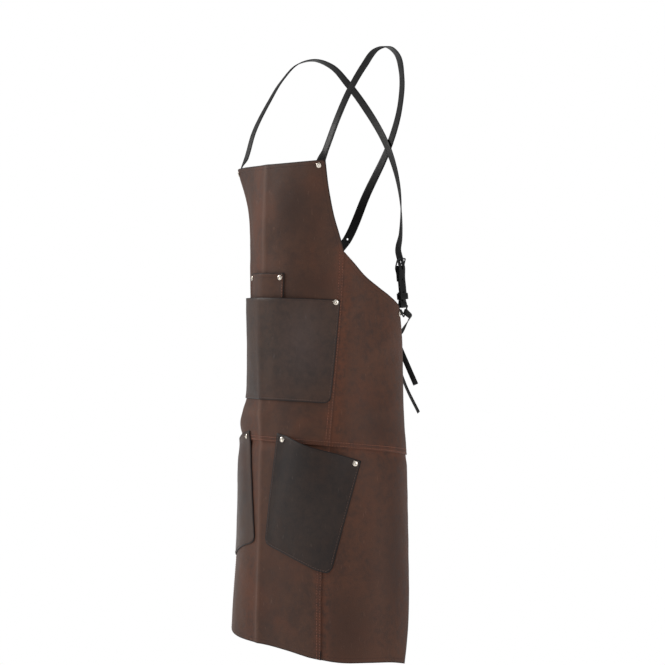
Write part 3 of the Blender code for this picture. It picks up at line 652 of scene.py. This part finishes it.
def squarePocket(shape):
    half, foot, r = shape["halfFoot"], shape["foot"], shape["corner"]
    turn = [(half + 0.0006 - r * (1 - cos(a)), foot - r * (1 - sin(a))) for a in np.linspace(0, pi / 2, 9)]
    side = [(shape["halfTop"], shape["top"]), *turn[:5]]
    base = np.concatenate([otherSide(turn[4:]), np.array(turn[4:])[::-1]])
    return bothWays(np.array(side), base)


def pocketOut(grid, bulge):
    # flat at the sides and the foot, and standing off most at the middle of the mouth
    rows, columns = grid.shape[:2]
    flat = pockets["flatEdge"]
    u = np.clip((np.linspace(0, 1, columns) - flat) / (1 - 2 * flat), 0, 1)
    lift = bulge * (1 - np.linspace(0, 1, rows) ** 1.3)[:, None] * np.sin(pi * u) ** 1.2
    return (pockets["layer"] + lift).reshape(-1)


def makePockets():
    mouth, base = pockets["hipTop"], pockets["hipFoot"]
    hip = patch(rounded(mouth), rounded(base), [mouth[0], base[0]], [mouth[-1], base[-1]])
    chest, pen = pockets["chest"], pockets["pen"]
    made = {
        "chest_pocket": (squarePocket(chest), chest["bulge"], "pocket"),
        "pen_pocket": (squarePocket(pen), pen["bulge"], "body"),
        "hip_pocket_left": (hip, pockets["hipBulge"]["left"], "hip"),
        "hip_pocket_right": (mirrored(hip), pockets["hipBulge"]["right"], "pocket"),
    }
    for node, (grid, bulge, skin) in made.items():
        layOut(node, grid, pocketOut(grid, bulge), skin)
    return made


makePanels()
pocketsMade = makePockets()
print("panels and pockets made")


thread = {
    "radius": 0.00052, "stitch": 0.0034, "pitch": 0.0046, "rows": (0.0022, 0.0078), "pocketRow": 0.0034,
    "corners": 6, "strapStitch": 0.0024,
    # along a stitch: share of its length, size, and how many radii it stands out
    "arch": ((0.0, 0.0, -0.5), (0.10, 0.8, 0.15), (0.5, 1.0, 0.55), (0.90, 0.8, 0.15), (1.0, 0.0, -0.5)),
}


def stitches(name, starts, ends, ups, colour):
    # one short round stitch from each start to each end, arched a little out of the leather
    points, faces = [], []
    corners, radius = thread["corners"], thread["radius"]
    for start, end, up in zip(starts, ends, ups):
        way = end - start
        across = np.cross(way, up)
        across /= np.linalg.norm(across)
        first = len(points)
        rings = [first + 1 + r * corners for r in range(3)]
        for share, size, lift in thread["arch"]:
            centre = start + way * share + up * radius * lift
            turns = [2 * pi * k / corners for k in range(corners)] if size else [0.0]
            points += [centre + radius * size * (cos(a) * across + sin(a) * up) for a in turns]
        for k in range(corners):
            n = (k + 1) % corners
            faces.append((first, rings[0] + n, rings[0] + k))
            faces += [(a + k, a + n, b + n, b + k) for a, b in zip(rings, rings[1:])]
            faces.append((rings[2] + k, rings[2] + n, rings[2] + corners))
    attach(linked(name, meshOf(name, points, faces), [threads[colour]]), "apron")


def stitched(name, lines, height, colour):
    # rows of stitches on the leather; height gives the surface under them
    rows = []
    for line in lines:
        count = int(runOf(np.array(line))[-1] / thread["pitch"])
        middles = alongLine(line, (np.arange(count) + 0.5) / count)
        ways = np.gradient(middles, axis=0)
        half = ways / np.linalg.norm(ways, axis=1, keepdims=True) * thread["stitch"] / 2
        top = height(*middles.T) + hide["thickness"] / 2
        ends = [placed(*place.T, top) for place in (middles - half, middles + half)]
        rows.append([*ends, outwardWay(*middles.T)])
    stitches(name, *(np.concatenate(part) for part in zip(*rows)), colour)


def inset(edge, within, distance):
    # a line that runs parallel to a grid's edge, a distance in from it
    run = np.gradient(edge, axis=0)
    across = np.stack([-run[:, 1], run[:, 0]], axis=1)
    across /= np.linalg.norm(across, axis=1, keepdims=True)
    across *= np.sign((across * (within - edge)).sum(axis=1, keepdims=True))
    return edge + across * distance


def makeSeams():
    seam, skirt = rounded(pattern["seam"]), rounded(pattern["skirtSeam"])
    lines = []
    for row in thread["rows"]:
        for turn in (1, -1):
            lines += [shifted(line, -row) * np.array([turn, 1]) for line in (seam[:-2], skirt[1:])]
        lines.append([(a, form["waist"] - row) for a in np.linspace(-0.3295, 0.3295, 160)])
    stitched("panelStitching", lines, topDepth, "rust")


def makePocketStitching():
    for node, (grid, _, skin) in pocketsMade.items():
        edges = ((grid[:, 0], grid[:, 1]), (grid[:, -1], grid[:, -2]), (grid[-1], grid[-2]))
        lines = [inset(*edge, thread["pocketRow"])[1:-1] for edge in edges]
        colour = "rust" if skin == "body" else "brown"
        stitched(camel(node) + "Stitching", lines, lambda a, d: np.full(len(a), pockets["layer"]), colour)


makeSeams()
makePocketStitching()
print("stitching made")


def facing(origin, out, up=Vector((0, 0, 1))):
    z = out.normalized()
    x = up.cross(z).normalized()
    return Matrix.Translation(origin) @ Matrix((x, z.cross(x), z)).transposed().to_4x4()


def turnedMesh(name, profile, steps, place):
    # a solid turned round the place's Z from (radius, height) points that start and end on the axis
    shape = bmesh.new()
    ring = [shape.verts.new((r, 0, z)) for r, z in profile]
    edges = [shape.edges.new(pair) for pair in zip(ring, ring[1:])]
    bmesh.ops.spin(shape, geom=ring + edges, axis=(0, 0, 1), cent=(0, 0, 0), steps=steps, angle=2 * pi,
                   use_merge=True)
    bmesh.ops.remove_doubles(shape, verts=shape.verts, dist=1e-6)
    bmesh.ops.recalc_face_normals(shape, faces=shape.faces)
    bmesh.ops.transform(shape, matrix=place, verts=shape.verts)
    mesh = bpy.data.meshes.new(name)
    shape.to_mesh(mesh)
    shape.free()
    mesh.shade_smooth()
    return mesh


sides = ((1, "left"), (-1, "right"))

rivets = {
    "cap": 0.0046, "post": 0.0015, "gap": 0.0006,
    # place on the pattern, what lies at the back, and what lies at the front
    "places": {
        "bib_rivet_": (0.122, 0.0085, "strap", "panel"),
        "pen_pocket_rivet_": (0.0430, 0.1945, "panel", "pocket"),
        "chest_pocket_rivet_": (0.1425, 0.2335, "panel", "pocket"),
        "hip_pocket_inner_rivet_": (0.0545, 0.4695, "panel", "pocket"),
        "hip_pocket_outer_rivet_": (0.1868, 0.4995, "panel", "pocket"),
        "side_rivet_": (0.2905, 0.2405, "tab", "panel"),
    },
}


def capProfile(cap, base, way):
    # a low dome with a rolled rim and a small dimple, from the rim's foot to the middle
    rim = [(cap * s, base + way * high) for s, high in ((0.94, 0), (1, 0.00025), (0.985, 0.0006))]
    dome = [(cap * s, base + way * (0.00075 + 0.00085 * (1 - s * s))) for s in (0.90, 0.78, 0.62, 0.48, 0.38)]
    dimple = [(cap * s, base + way * high) for s, high in ((0.31, 0.00138), (0.22, 0.00105), (0, 0.0009))]
    return rim + dome + dimple


def rivet(node, across, down, inner, outer):
    front, back = outer + rivets["gap"], inner - rivets["gap"]
    profile = capProfile(rivets["cap"] * 0.95, back, -1)[::-1]
    profile += [(rivets["post"], back), (rivets["post"], front), *capProfile(rivets["cap"], front, 1)]
    place = facing(Vector(placed(across, down, np.zeros(1))[0]), Vector(outwardWay(across, down)[0]))
    obj = linked(camel(node), turnedMesh(camel(node), profile, 32, place), [nickel])
    stands(obj, node, "apron")


def rivetPlace(name, side):
    across, down = rivets["places"][name][:2]
    return side * across, down


def makeRivets():
    half = hide["thickness"] / 2
    backs = {"strap": -half - straps["behindGap"] - straps["thickness"], "panel": -half,
             "tab": -tab["behind"] - straps["clear"] - tab["thickness"] * 1.5}
    fronts = {"panel": half, "pocket": pockets["layer"] + half}
    for side, word in sides:
        for name, (across, down, back, front) in rivets["places"].items():
            rivet(name + word, side * across, down, backs[back], fronts[front])


straps = {
    "width": 0.016, "thickness": 0.0020, "crease": 0.0016, "clear": 0.0005, "behindGap": 0.0017,
    "crossLift": 0.0032,
    "twistAt": 0.33,  # share of the way to the first knot, where the strap has turned to lie on the chest
    "sewn": (-0.0150, -0.0040, 0.0050),  # along the strap from its rivet, where it lies flat on the bib
    # middle of the left strap from the bib to the other side of the back, and the way its face looks
    "route": (
        (0.1276, -0.1230, -0.135, (0.10, -0.93, 0.33)),
        (0.1253, -0.0928, -0.080, (0.16, -0.84, 0.52)),
        (0.1247, -0.0637, -0.038, (0.25, -0.65, 0.75)),
        (0.1185, -0.0330, -0.007, (0.15, -0.40, 0.90)),
        (0.1100, 0.000, 0.0010, (0.10, 0.00, 1.00)),
        (0.0990, 0.028, -0.010, (0.15, 0.55, 0.80)),
        (0.0820, 0.050, -0.040, (0.25, 0.85, 0.45)),
        (0.0500, 0.071, -0.090, (0.20, 0.95, 0.20)),
        (0.0, 0.0800, -0.160, (0.0, 1.0, 0.05)),
        (-0.0500, 0.0700, -0.245, (-0.45, 0.89, 0.0)),
        (-0.0800, 0.0490, -0.325, (-0.85, 0.52, 0.0)),
    ),
    "holes": (-0.022, -0.044, 0.034, 0.056), "holeRadius": 0.0015,
}
ring = {"wire": 0.00125, "top": Vector((0.0966, 0.0412, -0.4466)), "facing": radians(12), "halfWidth": 0.0132,
        "height": 0.0200, "corner": 0.0022, "legFold": 0.55, "legClear": 0.0007}
buckle = {"bar": Vector((0.0925, 0.0370, -0.3800)), "halfWidth": 0.0103, "height": 0.0150, "tilt": 0.0066,
          "corner": 0.0022, "tongue": 0.0009, "slot": 0.0018}
run = (buckle["bar"] - ring["top"]).length
fold = ring["wire"] + straps["clear"] + straps["thickness"] / 2  # middle of a strap folded round a wire
pinched = (straps["thickness"] + straps["clear"]) / 2  # middle of either layer where the fold is pressed flat
over = pinched + straps["thickness"] + straps["clear"] + 0.0003  # the shoulder strap's end, over the fold
overBar = fold + straps["thickness"] + straps["clear"] + 0.0004
strapEnd = (
    (buckle["height"] + 0.012, 0.0010),
    (buckle["height"], buckle["tilt"] - ring["wire"] - straps["clear"] - straps["thickness"] / 2 - 0.0006),
    (buckle["height"] / 2, overBar - 0.0010),
    (0.0, overBar + 0.0003),
    (-0.007, over + 0.0012),
    (-0.016, over),
    (-0.034, over),
    (-0.0590, over),
)


def onSide(point, side):
    return Vector((side * point[0], point[1], point[2]))


def route(knots, count):
    # points and outward ways along a smooth curve through a few (point, outward way) knots
    points, outs = (np.array(part) for part in zip(*knots))
    run = runOf(points)
    where = np.linspace(0, 1, count)
    looks = np.stack([np.interp(where * run[-1], run, column) for column in outs.T], axis=1)
    return [(Vector(p), Vector(o).normalized()) for p, o in zip(alongLine(points, where, smooth), looks)]


def finer(walk, step):
    # the same path with a station at least every step, rounded through its points
    dense = []
    for (p, o), (q, r) in zip(walk, walk[1:]):
        count = max(1, round((q - p).length / step))
        dense += [(p.lerp(q, k / count), o.lerp(r, k / count).normalized()) for k in range(count)]
    dense.append(walk[-1])
    for _ in range(2):
        inner = [(q.lerp((p + s) / 2, 0.5), (r + (o + t) * 0.5).normalized())
                 for (p, o), (q, r), (s, t) in zip(dense, dense[1:], dense[2:])]
        dense = [dense[0], *inner, dense[-1]]
    return dense


def besides(path, closed=False):
    # the places before and after each place of a path
    ends = [path[-1], *path, path[0]] if closed else [path[0], *path, path[-1]]
    return zip(ends, ends[2:])


def swept(name, rings, closed=False, tips=(), shift=0, values=None):
    # a skin over rings of points; its ends are flat, or drawn to two tips, or joined to each other
    count, size = len(rings), len(rings[0])
    points, faces = [p for ring in rings for p in ring], []
    for k in range(count if closed else count - 1):
        a, b = k * size, (k + 1) % count * size
        turn = shift if k == count - 1 else 0
        for i in range(size):
            faces.append((a + i, b + (i + turn) % size, b + (i + 1 + turn) % size, a + (i + 1) % size))
    last = (count - 1) * size
    if tips:
        faces += [(i, (i + 1) % size, len(points)) for i in range(size)]
        faces += [(last + (i + 1) % size, last + i, len(points) + 1) for i in range(size)]
    elif not closed:
        faces += [tuple(range(size)), tuple(last + i for i in reversed(range(size)))]
    mesh = meshOf(name, [*points, *tips], faces, values)
    shape = bmesh.new()
    shape.from_mesh(mesh)
    bmesh.ops.recalc_face_normals(shape, faces=shape.faces)
    for end in [f for f in shape.faces if len(f.verts) > 4]:
        end.smooth = False
    shape.to_mesh(mesh)
    shape.free()
    return mesh


def strapProfile(look):
    # round a strap from the inner face's middle: (across, out), with rounded edges and creased lines
    half, thick, r = look["width"] / 2, look["thickness"] / 2, look["thickness"] * 0.36
    turn = [(half - r + r * sin(a), -thick + r - r * cos(a)) for a in np.linspace(0, pi / 2, 4)]
    turn += [(x, -z) for x, z in turn[::-1]]
    line = [(half - look["crease"] + x, thick - z) for x, z in ((0.0004, 0), (0, 0.00018), (-0.0004, 0))]
    right = [(half * 0.5, -thick), *turn, *line, (half * 0.35, thick), (0.0, thick)]
    return [(0.0, -thick), *right, *((-x, z) for x, z in right[-2::-1])]


def stripMesh(name, walk, look, across=None, closed=False, pointed=0.0):
    # a flat strap along (point, outward way) stations
    profile, half = strapProfile(look), look["width"] / 2
    left = runOf(np.array([p for p, _ in walk]))
    left = left[-1] - left
    rings, rim = [], []
    for (point, out), (before, after), toEnd in zip(walk, besides([p for p, _ in walk], closed), left):
        way = (after - before).normalized()
        side = (across or way.cross(out)).normalized()
        up = side.cross(way).normalized()
        up = up if up.dot(out) > 0 else -up
        narrow = max(0.12, sin(toEnd / pointed * pi / 2)) ** 0.55 if toEnd < pointed else 1.0
        rings.append([point + side * x * narrow + up * z for x, z in profile])
        rim += [max(half - abs(x), 0) if z > -look["thickness"] / 2 + 1e-5 else 0.02 for x, z in profile]
    return swept(name, rings, closed, values={"rim": rim})


def strip(node, body, walk, look, **ways):
    obj = linked(camel(node), stripMesh(camel(node), walk, look, **ways), [skins["strap"][0]])
    return stands(obj, node, body)


def hardwarePlace(origin, side):
    # X runs across the strap, Y up it, and Z looks outwards
    up = onSide(buckle["bar"] - ring["top"], side).normalized()
    out = Vector((side * cos(ring["facing"]), sin(ring["facing"]), 0))
    return facing(onSide(origin, side), out - up * out.dot(up), up)


def flatRun(place, outline):
    outWay = place.to_3x3() @ Vector((0, 0, 1))
    return [(place @ Vector((0, up, out)), outWay) for up, out in outline]


def outwardRun(place, outline):
    # stations whose outward way is square to the path, on the side that the strap's face looks
    walk = []
    for (a, b), (up, out) in zip(besides(outline), outline):
        way = Vector((0, b[0] - a[0], b[1] - a[1])).normalized()
        walk.append((place @ Vector((0, up, out)), place.to_3x3() @ Vector((1, 0, 0)).cross(way)))
    return walk


def arcPoints(radius, start, end, count):
    return [(radius * cos(a), radius * sin(a)) for a in np.radians(np.linspace(start, end, count))]


def punch(obj, cutters):
    # holes through a strap, cut by closed meshes
    for number, cutter in enumerate(cutters):
        cut = obj.modifiers.new("hole" + str(number), "BOOLEAN")
        cut.operation, cut.solver, cut.object = "DIFFERENCE", "EXACT", cutter
    graph = bpy.context.evaluated_depsgraph_get()
    mesh = bpy.data.meshes.new_from_object(obj.evaluated_get(graph))
    obj.modifiers.clear()
    obj.data = mesh
    for cutter in cutters:
        bpy.data.objects.remove(cutter, do_unlink=True)


def slotCutter(place, low, high, half, depth):
    # a long round-ended hole from low to high along the place's Y
    outline = [(x, high + y) for x, y in arcPoints(half, 0, 180, 9)]
    outline += [(x, low + y) for x, y in arcPoints(half, 180, 360, 9)]
    rings = [[place @ Vector((x, y, z)) for x, y in outline] for z in depth]
    return linked("cutter", swept("cutter", rings), [])


def makeShoulderStrap(side, word):
    lift = straps["crossLift"] if side > 0 else 0.0  # the left strap lies on the right one where they cross
    behind = -(hide["thickness"] + straps["thickness"]) / 2 - straps["behindGap"]
    across, down = rivetPlace("bib_rivet_", side)
    face, held = Vector(outwardWay(across, down)[0]), Vector(placed(across, down, behind)[0])
    up = onSide(straps["route"][0], side) - held
    up = (up - face * up.dot(face)).normalized()
    start = [(held + up * t, face) for t in straps["sewn"]]
    middle = []
    for x, y, z, out in straps["route"]:
        middle.append((onSide((x, y + (lift if x == 0 else 0), z), side), onSide(out, side).normalized()))
    middle.insert(0, (held.lerp(middle[0][0], straps["twistAt"]), middle[0][1]))
    place = hardwarePlace(buckle["bar"], -side)
    walk = route(start + middle + flatRun(place, strapEnd), 260)
    obj = strip("shoulder_strap_" + word, "apron", walk, straps, pointed=0.012)
    cutters = [slotCutter(place, -0.0024, 0.0104, buckle["slot"], (0.0012, 0.0140))]
    for up in straps["holes"]:
        level = (place @ Vector((0, up, 0))).z
        point, out = min(walk[170:], key=lambda step: abs(step[0].z - level))  # 170 is past the shoulder
        there = facing(point, out, place.to_3x3() @ Vector((0, 1, 0)))
        cutters.append(slotCutter(there, -0.0004, 0.0004, straps["holeRadius"], (-0.003, 0.003)))
    punch(obj, cutters)


def crossStitching(name, place, rows, out):
    # short rows of stitches across a strap, at these heights up the place
    middles = [place @ Vector((x, up, out)) for up in rows for x in np.linspace(-0.0050, 0.0050, 4)]
    turn = place.to_3x3()
    half = turn @ Vector((thread["strapStitch"] / 2, 0, 0))
    starts, ends = (np.array([p + h for p in middles]) for h in (-half, half))
    stitches(name, starts, ends, [np.array(turn @ Vector((0, 0, 1)))] * len(middles), "black")


def makeBuckleStrap(side, word):
    place = hardwarePlace(ring["top"], side)
    lower = [(0.024, -pinched), (0.009, -pinched), (0.0035, -fold), *arcPoints(fold, -90, -270, 17)]
    lower += [(0.0035, fold), (0.009, pinched)]
    upper = [(run - up, out) for up, out in lower[::-1]]
    walk = finer(outwardRun(place, lower + upper), 0.0012)
    obj = strip("buckle_strap_" + word, "apron", walk, straps, across=place.to_3x3() @ Vector((1, 0, 0)))
    punch(obj, [slotCutter(place, run - 0.0034, run + 0.0084, buckle["slot"], (-0.010, 0.010))])
    rows = (0.0072, 0.0098, run - 0.0098, run - 0.0072)
    crossStitching("buckleStrapStitching" + word.capitalize(), place, rows, pinched + straps["thickness"] / 2)


def roundedLoop(corners, radius, steps=6):
    loop = []
    for here, (before, after) in zip(corners, besides(corners, True)):
        here = Vector(here)
        start, end = (here + (Vector(far) - here).normalized() * radius for far in (before, after))
        for t in (k / steps for k in range(steps + 1)):
            loop.append((1 - t) ** 2 * start + 2 * t * (1 - t) * here + t * t * end)
    return loop


def wirePiece(node, body, points, radius, closed, place, corners=14):
    # bent round wire
    path = [place @ Vector(p) for p in points]
    out = place.to_3x3() @ Vector((0.31, 0.23, 0.92)).normalized()
    rings, tips, shift = [], [], 0
    for point, (before, after) in zip(path, besides(path, closed)):
        way = (after - before).normalized()
        out = (out - way * out.dot(way)).normalized()
        y = way.cross(out)
        rings.append([point + x * out + z * y for x, z in arcPoints(radius, 0, 360, corners + 1)[:-1]])
    if closed:  # join the last ring to the first where their corners lie nearest
        shift = min(range(corners), key=lambda s: (rings[0][s] - rings[-1][0]).length)
    else:
        tips = [a + (a - b).normalized() * radius * 0.7 for a, b in (path[:2], path[:-3:-1])]
    obj = linked(camel(node), swept(camel(node), rings, closed, tips, shift), [blackSteel])
    stands(obj, node, body)


def makeBuckle(side, word):
    place = hardwarePlace(buckle["bar"], side)
    half, high, tilt = buckle["halfWidth"], buckle["height"], buckle["tilt"]
    corners = [(-half, 0, 0), (half, 0, 0), (half, high, tilt), (-half, high, tilt)]
    loop = roundedLoop(corners, buckle["corner"])
    wirePiece("buckle_frame_" + word, "apron", loop, ring["wire"], True, place)
    hook = ring["wire"] + 0.0004 + buckle["tongue"]
    tip = np.array((0, high + 0.0016, tilt + ring["wire"] + buckle["tongue"] + 0.0014))
    path = [np.array((0, up, out)) for up, out in arcPoints(hook, -60, -300, 22)]
    path += [path[-1] + (tip - path[-1]) * t for t in (0.3, 0.6, 0.85, 1.0)]
    wirePiece("buckle_tongue_" + word, "buckle_tongue_" + word, path, buckle["tongue"], False, place)


def makeSideRing(side, word):
    half = ring["halfWidth"]
    loop = roundedLoop([(-half, 0, 0), (half, 0, 0), (0, -ring["height"], 0)], ring["corner"])
    place = hardwarePlace(ring["top"], side)
    wirePiece("side_ring_" + word, "side_ring_" + word, loop, ring["wire"], True, place)


keeper = {"thickness": 0.0014, "width": 0.0110, "crease": 0.0014, "corner": 0.0016, "up": 0.0165}


def makeKeeper(side, word):
    place = hardwarePlace(ring["top"], side) @ Matrix.Translation((0, keeper["up"], 0))
    step = (straps["thickness"] + keeper["thickness"]) / 2 + straps["clear"]
    low, high = -pinched - step, over + step
    half = (straps["width"] + keeper["thickness"]) / 2 + straps["clear"]
    loop = roundedLoop([(-half, 0, low), (half, 0, low), (half, 0, high), (-half, 0, high)], keeper["corner"])
    middle = Vector((0, 0, (low + high) / 2))
    turn = place.to_3x3()
    walk = [(place @ p, turn @ (p - middle).normalized()) for p in loop]
    name = "strap_keeper_" + word
    strip(name, name, walk, keeper, across=turn @ Vector((0, 1, 0)), closed=True)


def ringLeg(side, which):
    place = hardwarePlace(ring["top"], side)
    turn = place.to_3x3()
    x = which * side * ring["halfWidth"]
    held = place @ Vector((x * (1 - ring["legFold"]), -ring["height"] * ring["legFold"], 0))
    away = (turn @ Vector((which * side * ring["height"], -ring["halfWidth"], 0))).normalized()
    return held, away, turn @ Vector((0, 0, 1))


def roundLeg(held, away, out, thickness, start, end):
    reach = ring["wire"] + ring["legClear"] + thickness / 2
    ways = [away * x + out * y for x, y in arcPoints(1, start, end, 17)]
    return [(held + way * reach, way) for way in ways]


tab = {"thickness": 0.0012, "width": 0.0090, "crease": 0.0013, "behind": (0.0018 + 0.0012) / 2 + 0.0028}


def makeSideTab(side, word):
    held, away, out = ringLeg(side, -1)
    across, down = rivetPlace("side_rivet_", side)
    corner, cornerOut = Vector(onForm(across, down)[0]), Vector(outwardWay(across, down)[0])
    toward = held - corner
    toward = (toward - cornerOut * toward.dot(cornerOut)).normalized()
    layers = []
    for depth in (tab["behind"], tab["behind"] + tab["thickness"] + straps["clear"]):
        layers.append([(corner - cornerOut * depth + toward * t, cornerOut) for t in (-0.0065, 0, 0.003)])
    inner = [(p, -o) for p, o in layers[1][::-1]]
    walk = finer(layers[0] + roundLeg(held, away, out, tab["thickness"], 70, 290) + inner, 0.0010)
    strip("side_tab_" + word, "apron", walk, tab)


tie = {"thickness": 0.0013, "width": 0.0095, "crease": 0.0013, "waist": ((60, -0.488), (74, -0.499)),
       "backY": -0.0545, "backRadius": 0.137}
bow = {
    "knot": Vector((0.0, 0.0920, -0.5050)), "radius": 0.0085, "halfLength": 0.0110, "turns": 2.25,
    "droop": (0.45, 0.14, -0.88), "loopRoot": (0.0078, 0.0056, -0.0084), "loopFacing": (-0.80, 0.60, 0),
    "tailFacing": (0.25, 1, 0),
    "loop": ((0, 0.0020), (0.030, 0.0050), (0.062, 0.0045), (0.080, 0.0025), (0.084, -0.0012),
             (0.079, -0.0040), (0.060, -0.0045), (0.030, -0.0032), (0.004, -0.0012)),
    "tail": ((0.0070, -0.0015, -0.010), (0.0140, 0.0, -0.040), (0.0310, 0.0060, -0.085),
             (0.0560, 0.0160, -0.132)),
}


def makeWaistTie(side, word):
    held, away, out = ringLeg(side, 1)
    layer = out * (tie["thickness"] + straps["clear"]) / 2
    near, far = held + away * 0.007, held + away * 0.015
    end = [(far - layer, -out), (near - layer * 1.8, -out)]
    end += roundLeg(held, away, out, tie["thickness"], -70, -290)
    waist = []
    for angle, height in tie["waist"]:
        way = Vector((side * cos(radians(angle)), sin(radians(angle)), 0))
        waist.append((Vector((0, tie["backY"], height)) + way * tie["backRadius"], way))
    root = bow["knot"] + Vector((side * (bow["halfLength"] + 0.0012), -0.0035, 0))
    waist.append((root + Vector((side * 0.010, -0.001, 0.001)), Vector((side * 0.1, 1, 0))))
    waist.append((root, Vector((0, 1, 0))))
    walk = finer(end + [(near + layer * 1.8, out)] + route([(far + layer, out)] + waist, 60), 0.0014)
    strip("waist_tie_" + word, "apron", walk, tie)


def makeSideHardware(side, word):
    for make in (makeBuckleStrap, makeBuckle, makeSideRing, makeKeeper, makeSideTab, makeWaistTie):
        make(side, word)


def makeBowHalf(side, word):
    knot = bow["knot"]
    down, out = onSide(bow["droop"], side).normalized(), onSide(bow["loopFacing"], side)
    out = (out - down * out.dot(down)).normalized()
    across = down.cross(out)
    root = knot + onSide(bow["loopRoot"], side)
    outline = rounded(bow["loop"], 90).tolist()
    walk = []
    for (before, after), (along, lift) in zip(besides(outline), outline):
        way = down * (after[0] - before[0]) + out * (after[1] - before[1])
        walk.append((root + down * along + out * lift, across.cross(way).normalized()))
    strip("bow_loop_" + word, "bow_half_" + word, walk, tie, across=across)
    facingOut = onSide(bow["tailFacing"], side)
    walk = route([(knot + onSide(p, side), facingOut) for p in bow["tail"]], 50)
    strip("bow_tail_" + word, "bow_half_" + word, walk, tie)


def makeKnot():
    # the tie wound round a core
    knot, half = bow["knot"], bow["halfLength"]
    reach = half - tie["width"] / 2 + 0.0016
    walk = []
    for t in np.linspace(0, 1, 110):
        a = 2 * pi * bow["turns"] * t + 0.6
        way = Vector((0, cos(a), sin(a)))
        radius = bow["radius"] - 0.0011 - 0.0004 * cos(2 * a)
        walk.append((knot + Vector((reach * (2 * t - 1), 0, 0)) + way * radius, way))
    wound = linked("bowKnot", stripMesh("bowKnot", walk, tie, across=Vector((1, 0, 0))), [skins["strap"][0]])
    core = bow["radius"] - 0.0022
    profile = [(0, -half), (core * 0.75, -half * 0.98), (core * 0.97, -half * 0.8), (core, -half * 0.3)]
    profile += [(x, -z) for x, z in profile[::-1]]
    mesh = turnedMesh("bowKnotCore", profile, 24, facing(knot, Vector((1, 0, 0))))
    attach(linked("bowKnotCore", mesh, [skins["strap"][0]]), "apron")
    stands(wound, "bow_knot", "apron")


for make in (makeShoulderStrap, makeSideHardware, makeBowHalf):
    for side, word in sides:
        make(side, word)
makeKnot()
makeRivets()
print("straps, hardware and rivets made")


stage = {"shoulderHeight": 1.45, "plain": 1.6, "reach": 12.0, "pale": (0.86, 0.86, 0.87)}


def makeStage():
    mat, shader, where = newMaterial("paleFloor")
    nodes, links = mat.node_tree.nodes, mat.node_tree.links
    colour = where.noise(2.0, 3.0).between(0.3, 0.7).tint([c * 0.97 for c in stage["pale"]], stage["pale"])
    links.new(colour.socket, shader.inputs["Base Color"])
    shader.inputs["Roughness"].default_value = 0.9
    far = where.node("VectorMath", {"operation": "LENGTH"}, {0: where}, 1)
    far = far.between(stage["plain"] / 2, stage["plain"])
    bright = where.node("Emission", {}, {"Color": (1, 1, 1, 1), "Strength": 1.0})
    mixed = where.node("MixShader", {}, {0: far, 1: Flow(mat.node_tree, shader.outputs[0]), 2: bright})
    links.new(mixed.socket, nodes["Material Output"].inputs["Surface"])
    corners = [(x * stage["reach"], y * stage["reach"], -stage["shoulderHeight"])
               for x, y in ((-1, -1), (1, -1), (1, 1), (-1, 1))]
    linked("floor", meshOf("floor", corners, [(0, 1, 2, 3)]), [mat])


lamps = (
    # name, place, size, power, colour
    ("keyLight", (-2.3, -2.2, 0.9), 1.6, 66, (1.0, 0.98, 0.96)),
    ("sideLight", (3.3, 0.2, 0.6), 1.6, 28, (0.98, 0.98, 1.0)),
    ("topLight", (0.4, -0.6, 2.3), 1.6, 18, (1.0, 1.0, 1.0)),
)
world = {"seen": 1.0, "light": 0.36}


def makeLights():
    middle = (Vector(cadBounds[0]) + Vector(cadBounds[1])) / 2
    for name, place, size, power, colour in lamps:
        lamp = bpy.data.lights.new(name, "AREA")
        lamp.shape, lamp.size, lamp.energy, lamp.color = "DISK", size, power, colour
        obj = linked(name, lamp, [])
        obj.location = Vector(place)
        obj.rotation_euler = (middle - obj.location).to_track_quat("-Z", "Y").to_euler()
    sky = bpy.data.worlds.new("studio")
    bpy.context.scene.world = sky
    sky.use_nodes = True
    direct = Flow(sky.node_tree).node("LightPath", {}, {}, 0)
    strength = direct * (world["seen"] - world["light"]) + world["light"]
    ground = sky.node_tree.nodes["Background"]
    ground.inputs["Color"].default_value = (1, 1, 1, 1)
    sky.node_tree.links.new(strength.socket, ground.inputs["Strength"])


camera = {"azimuth": 55, "distance": 3.4, "axisY": -0.057, "height": -0.454, "lens": 104.6,
          "shift": (0.0113, -0.0338)}


def makeCamera():
    data = bpy.data.cameras.new("camera")
    data.lens, data.clip_end = camera["lens"], 100
    data.shift_x, data.shift_y = camera["shift"]
    obj = linked("camera", data, [])
    turn, far = radians(camera["azimuth"]), camera["distance"]
    obj.location = (far * sin(turn), camera["axisY"] - far * cos(turn), camera["height"])
    obj.rotation_euler = (pi / 2, 0, turn)
    bpy.context.scene.camera = obj


makeStage()
makeLights()
makeCamera()
bpy.context.scene.view_settings.view_transform = "Standard"
print("stage, light and camera made")
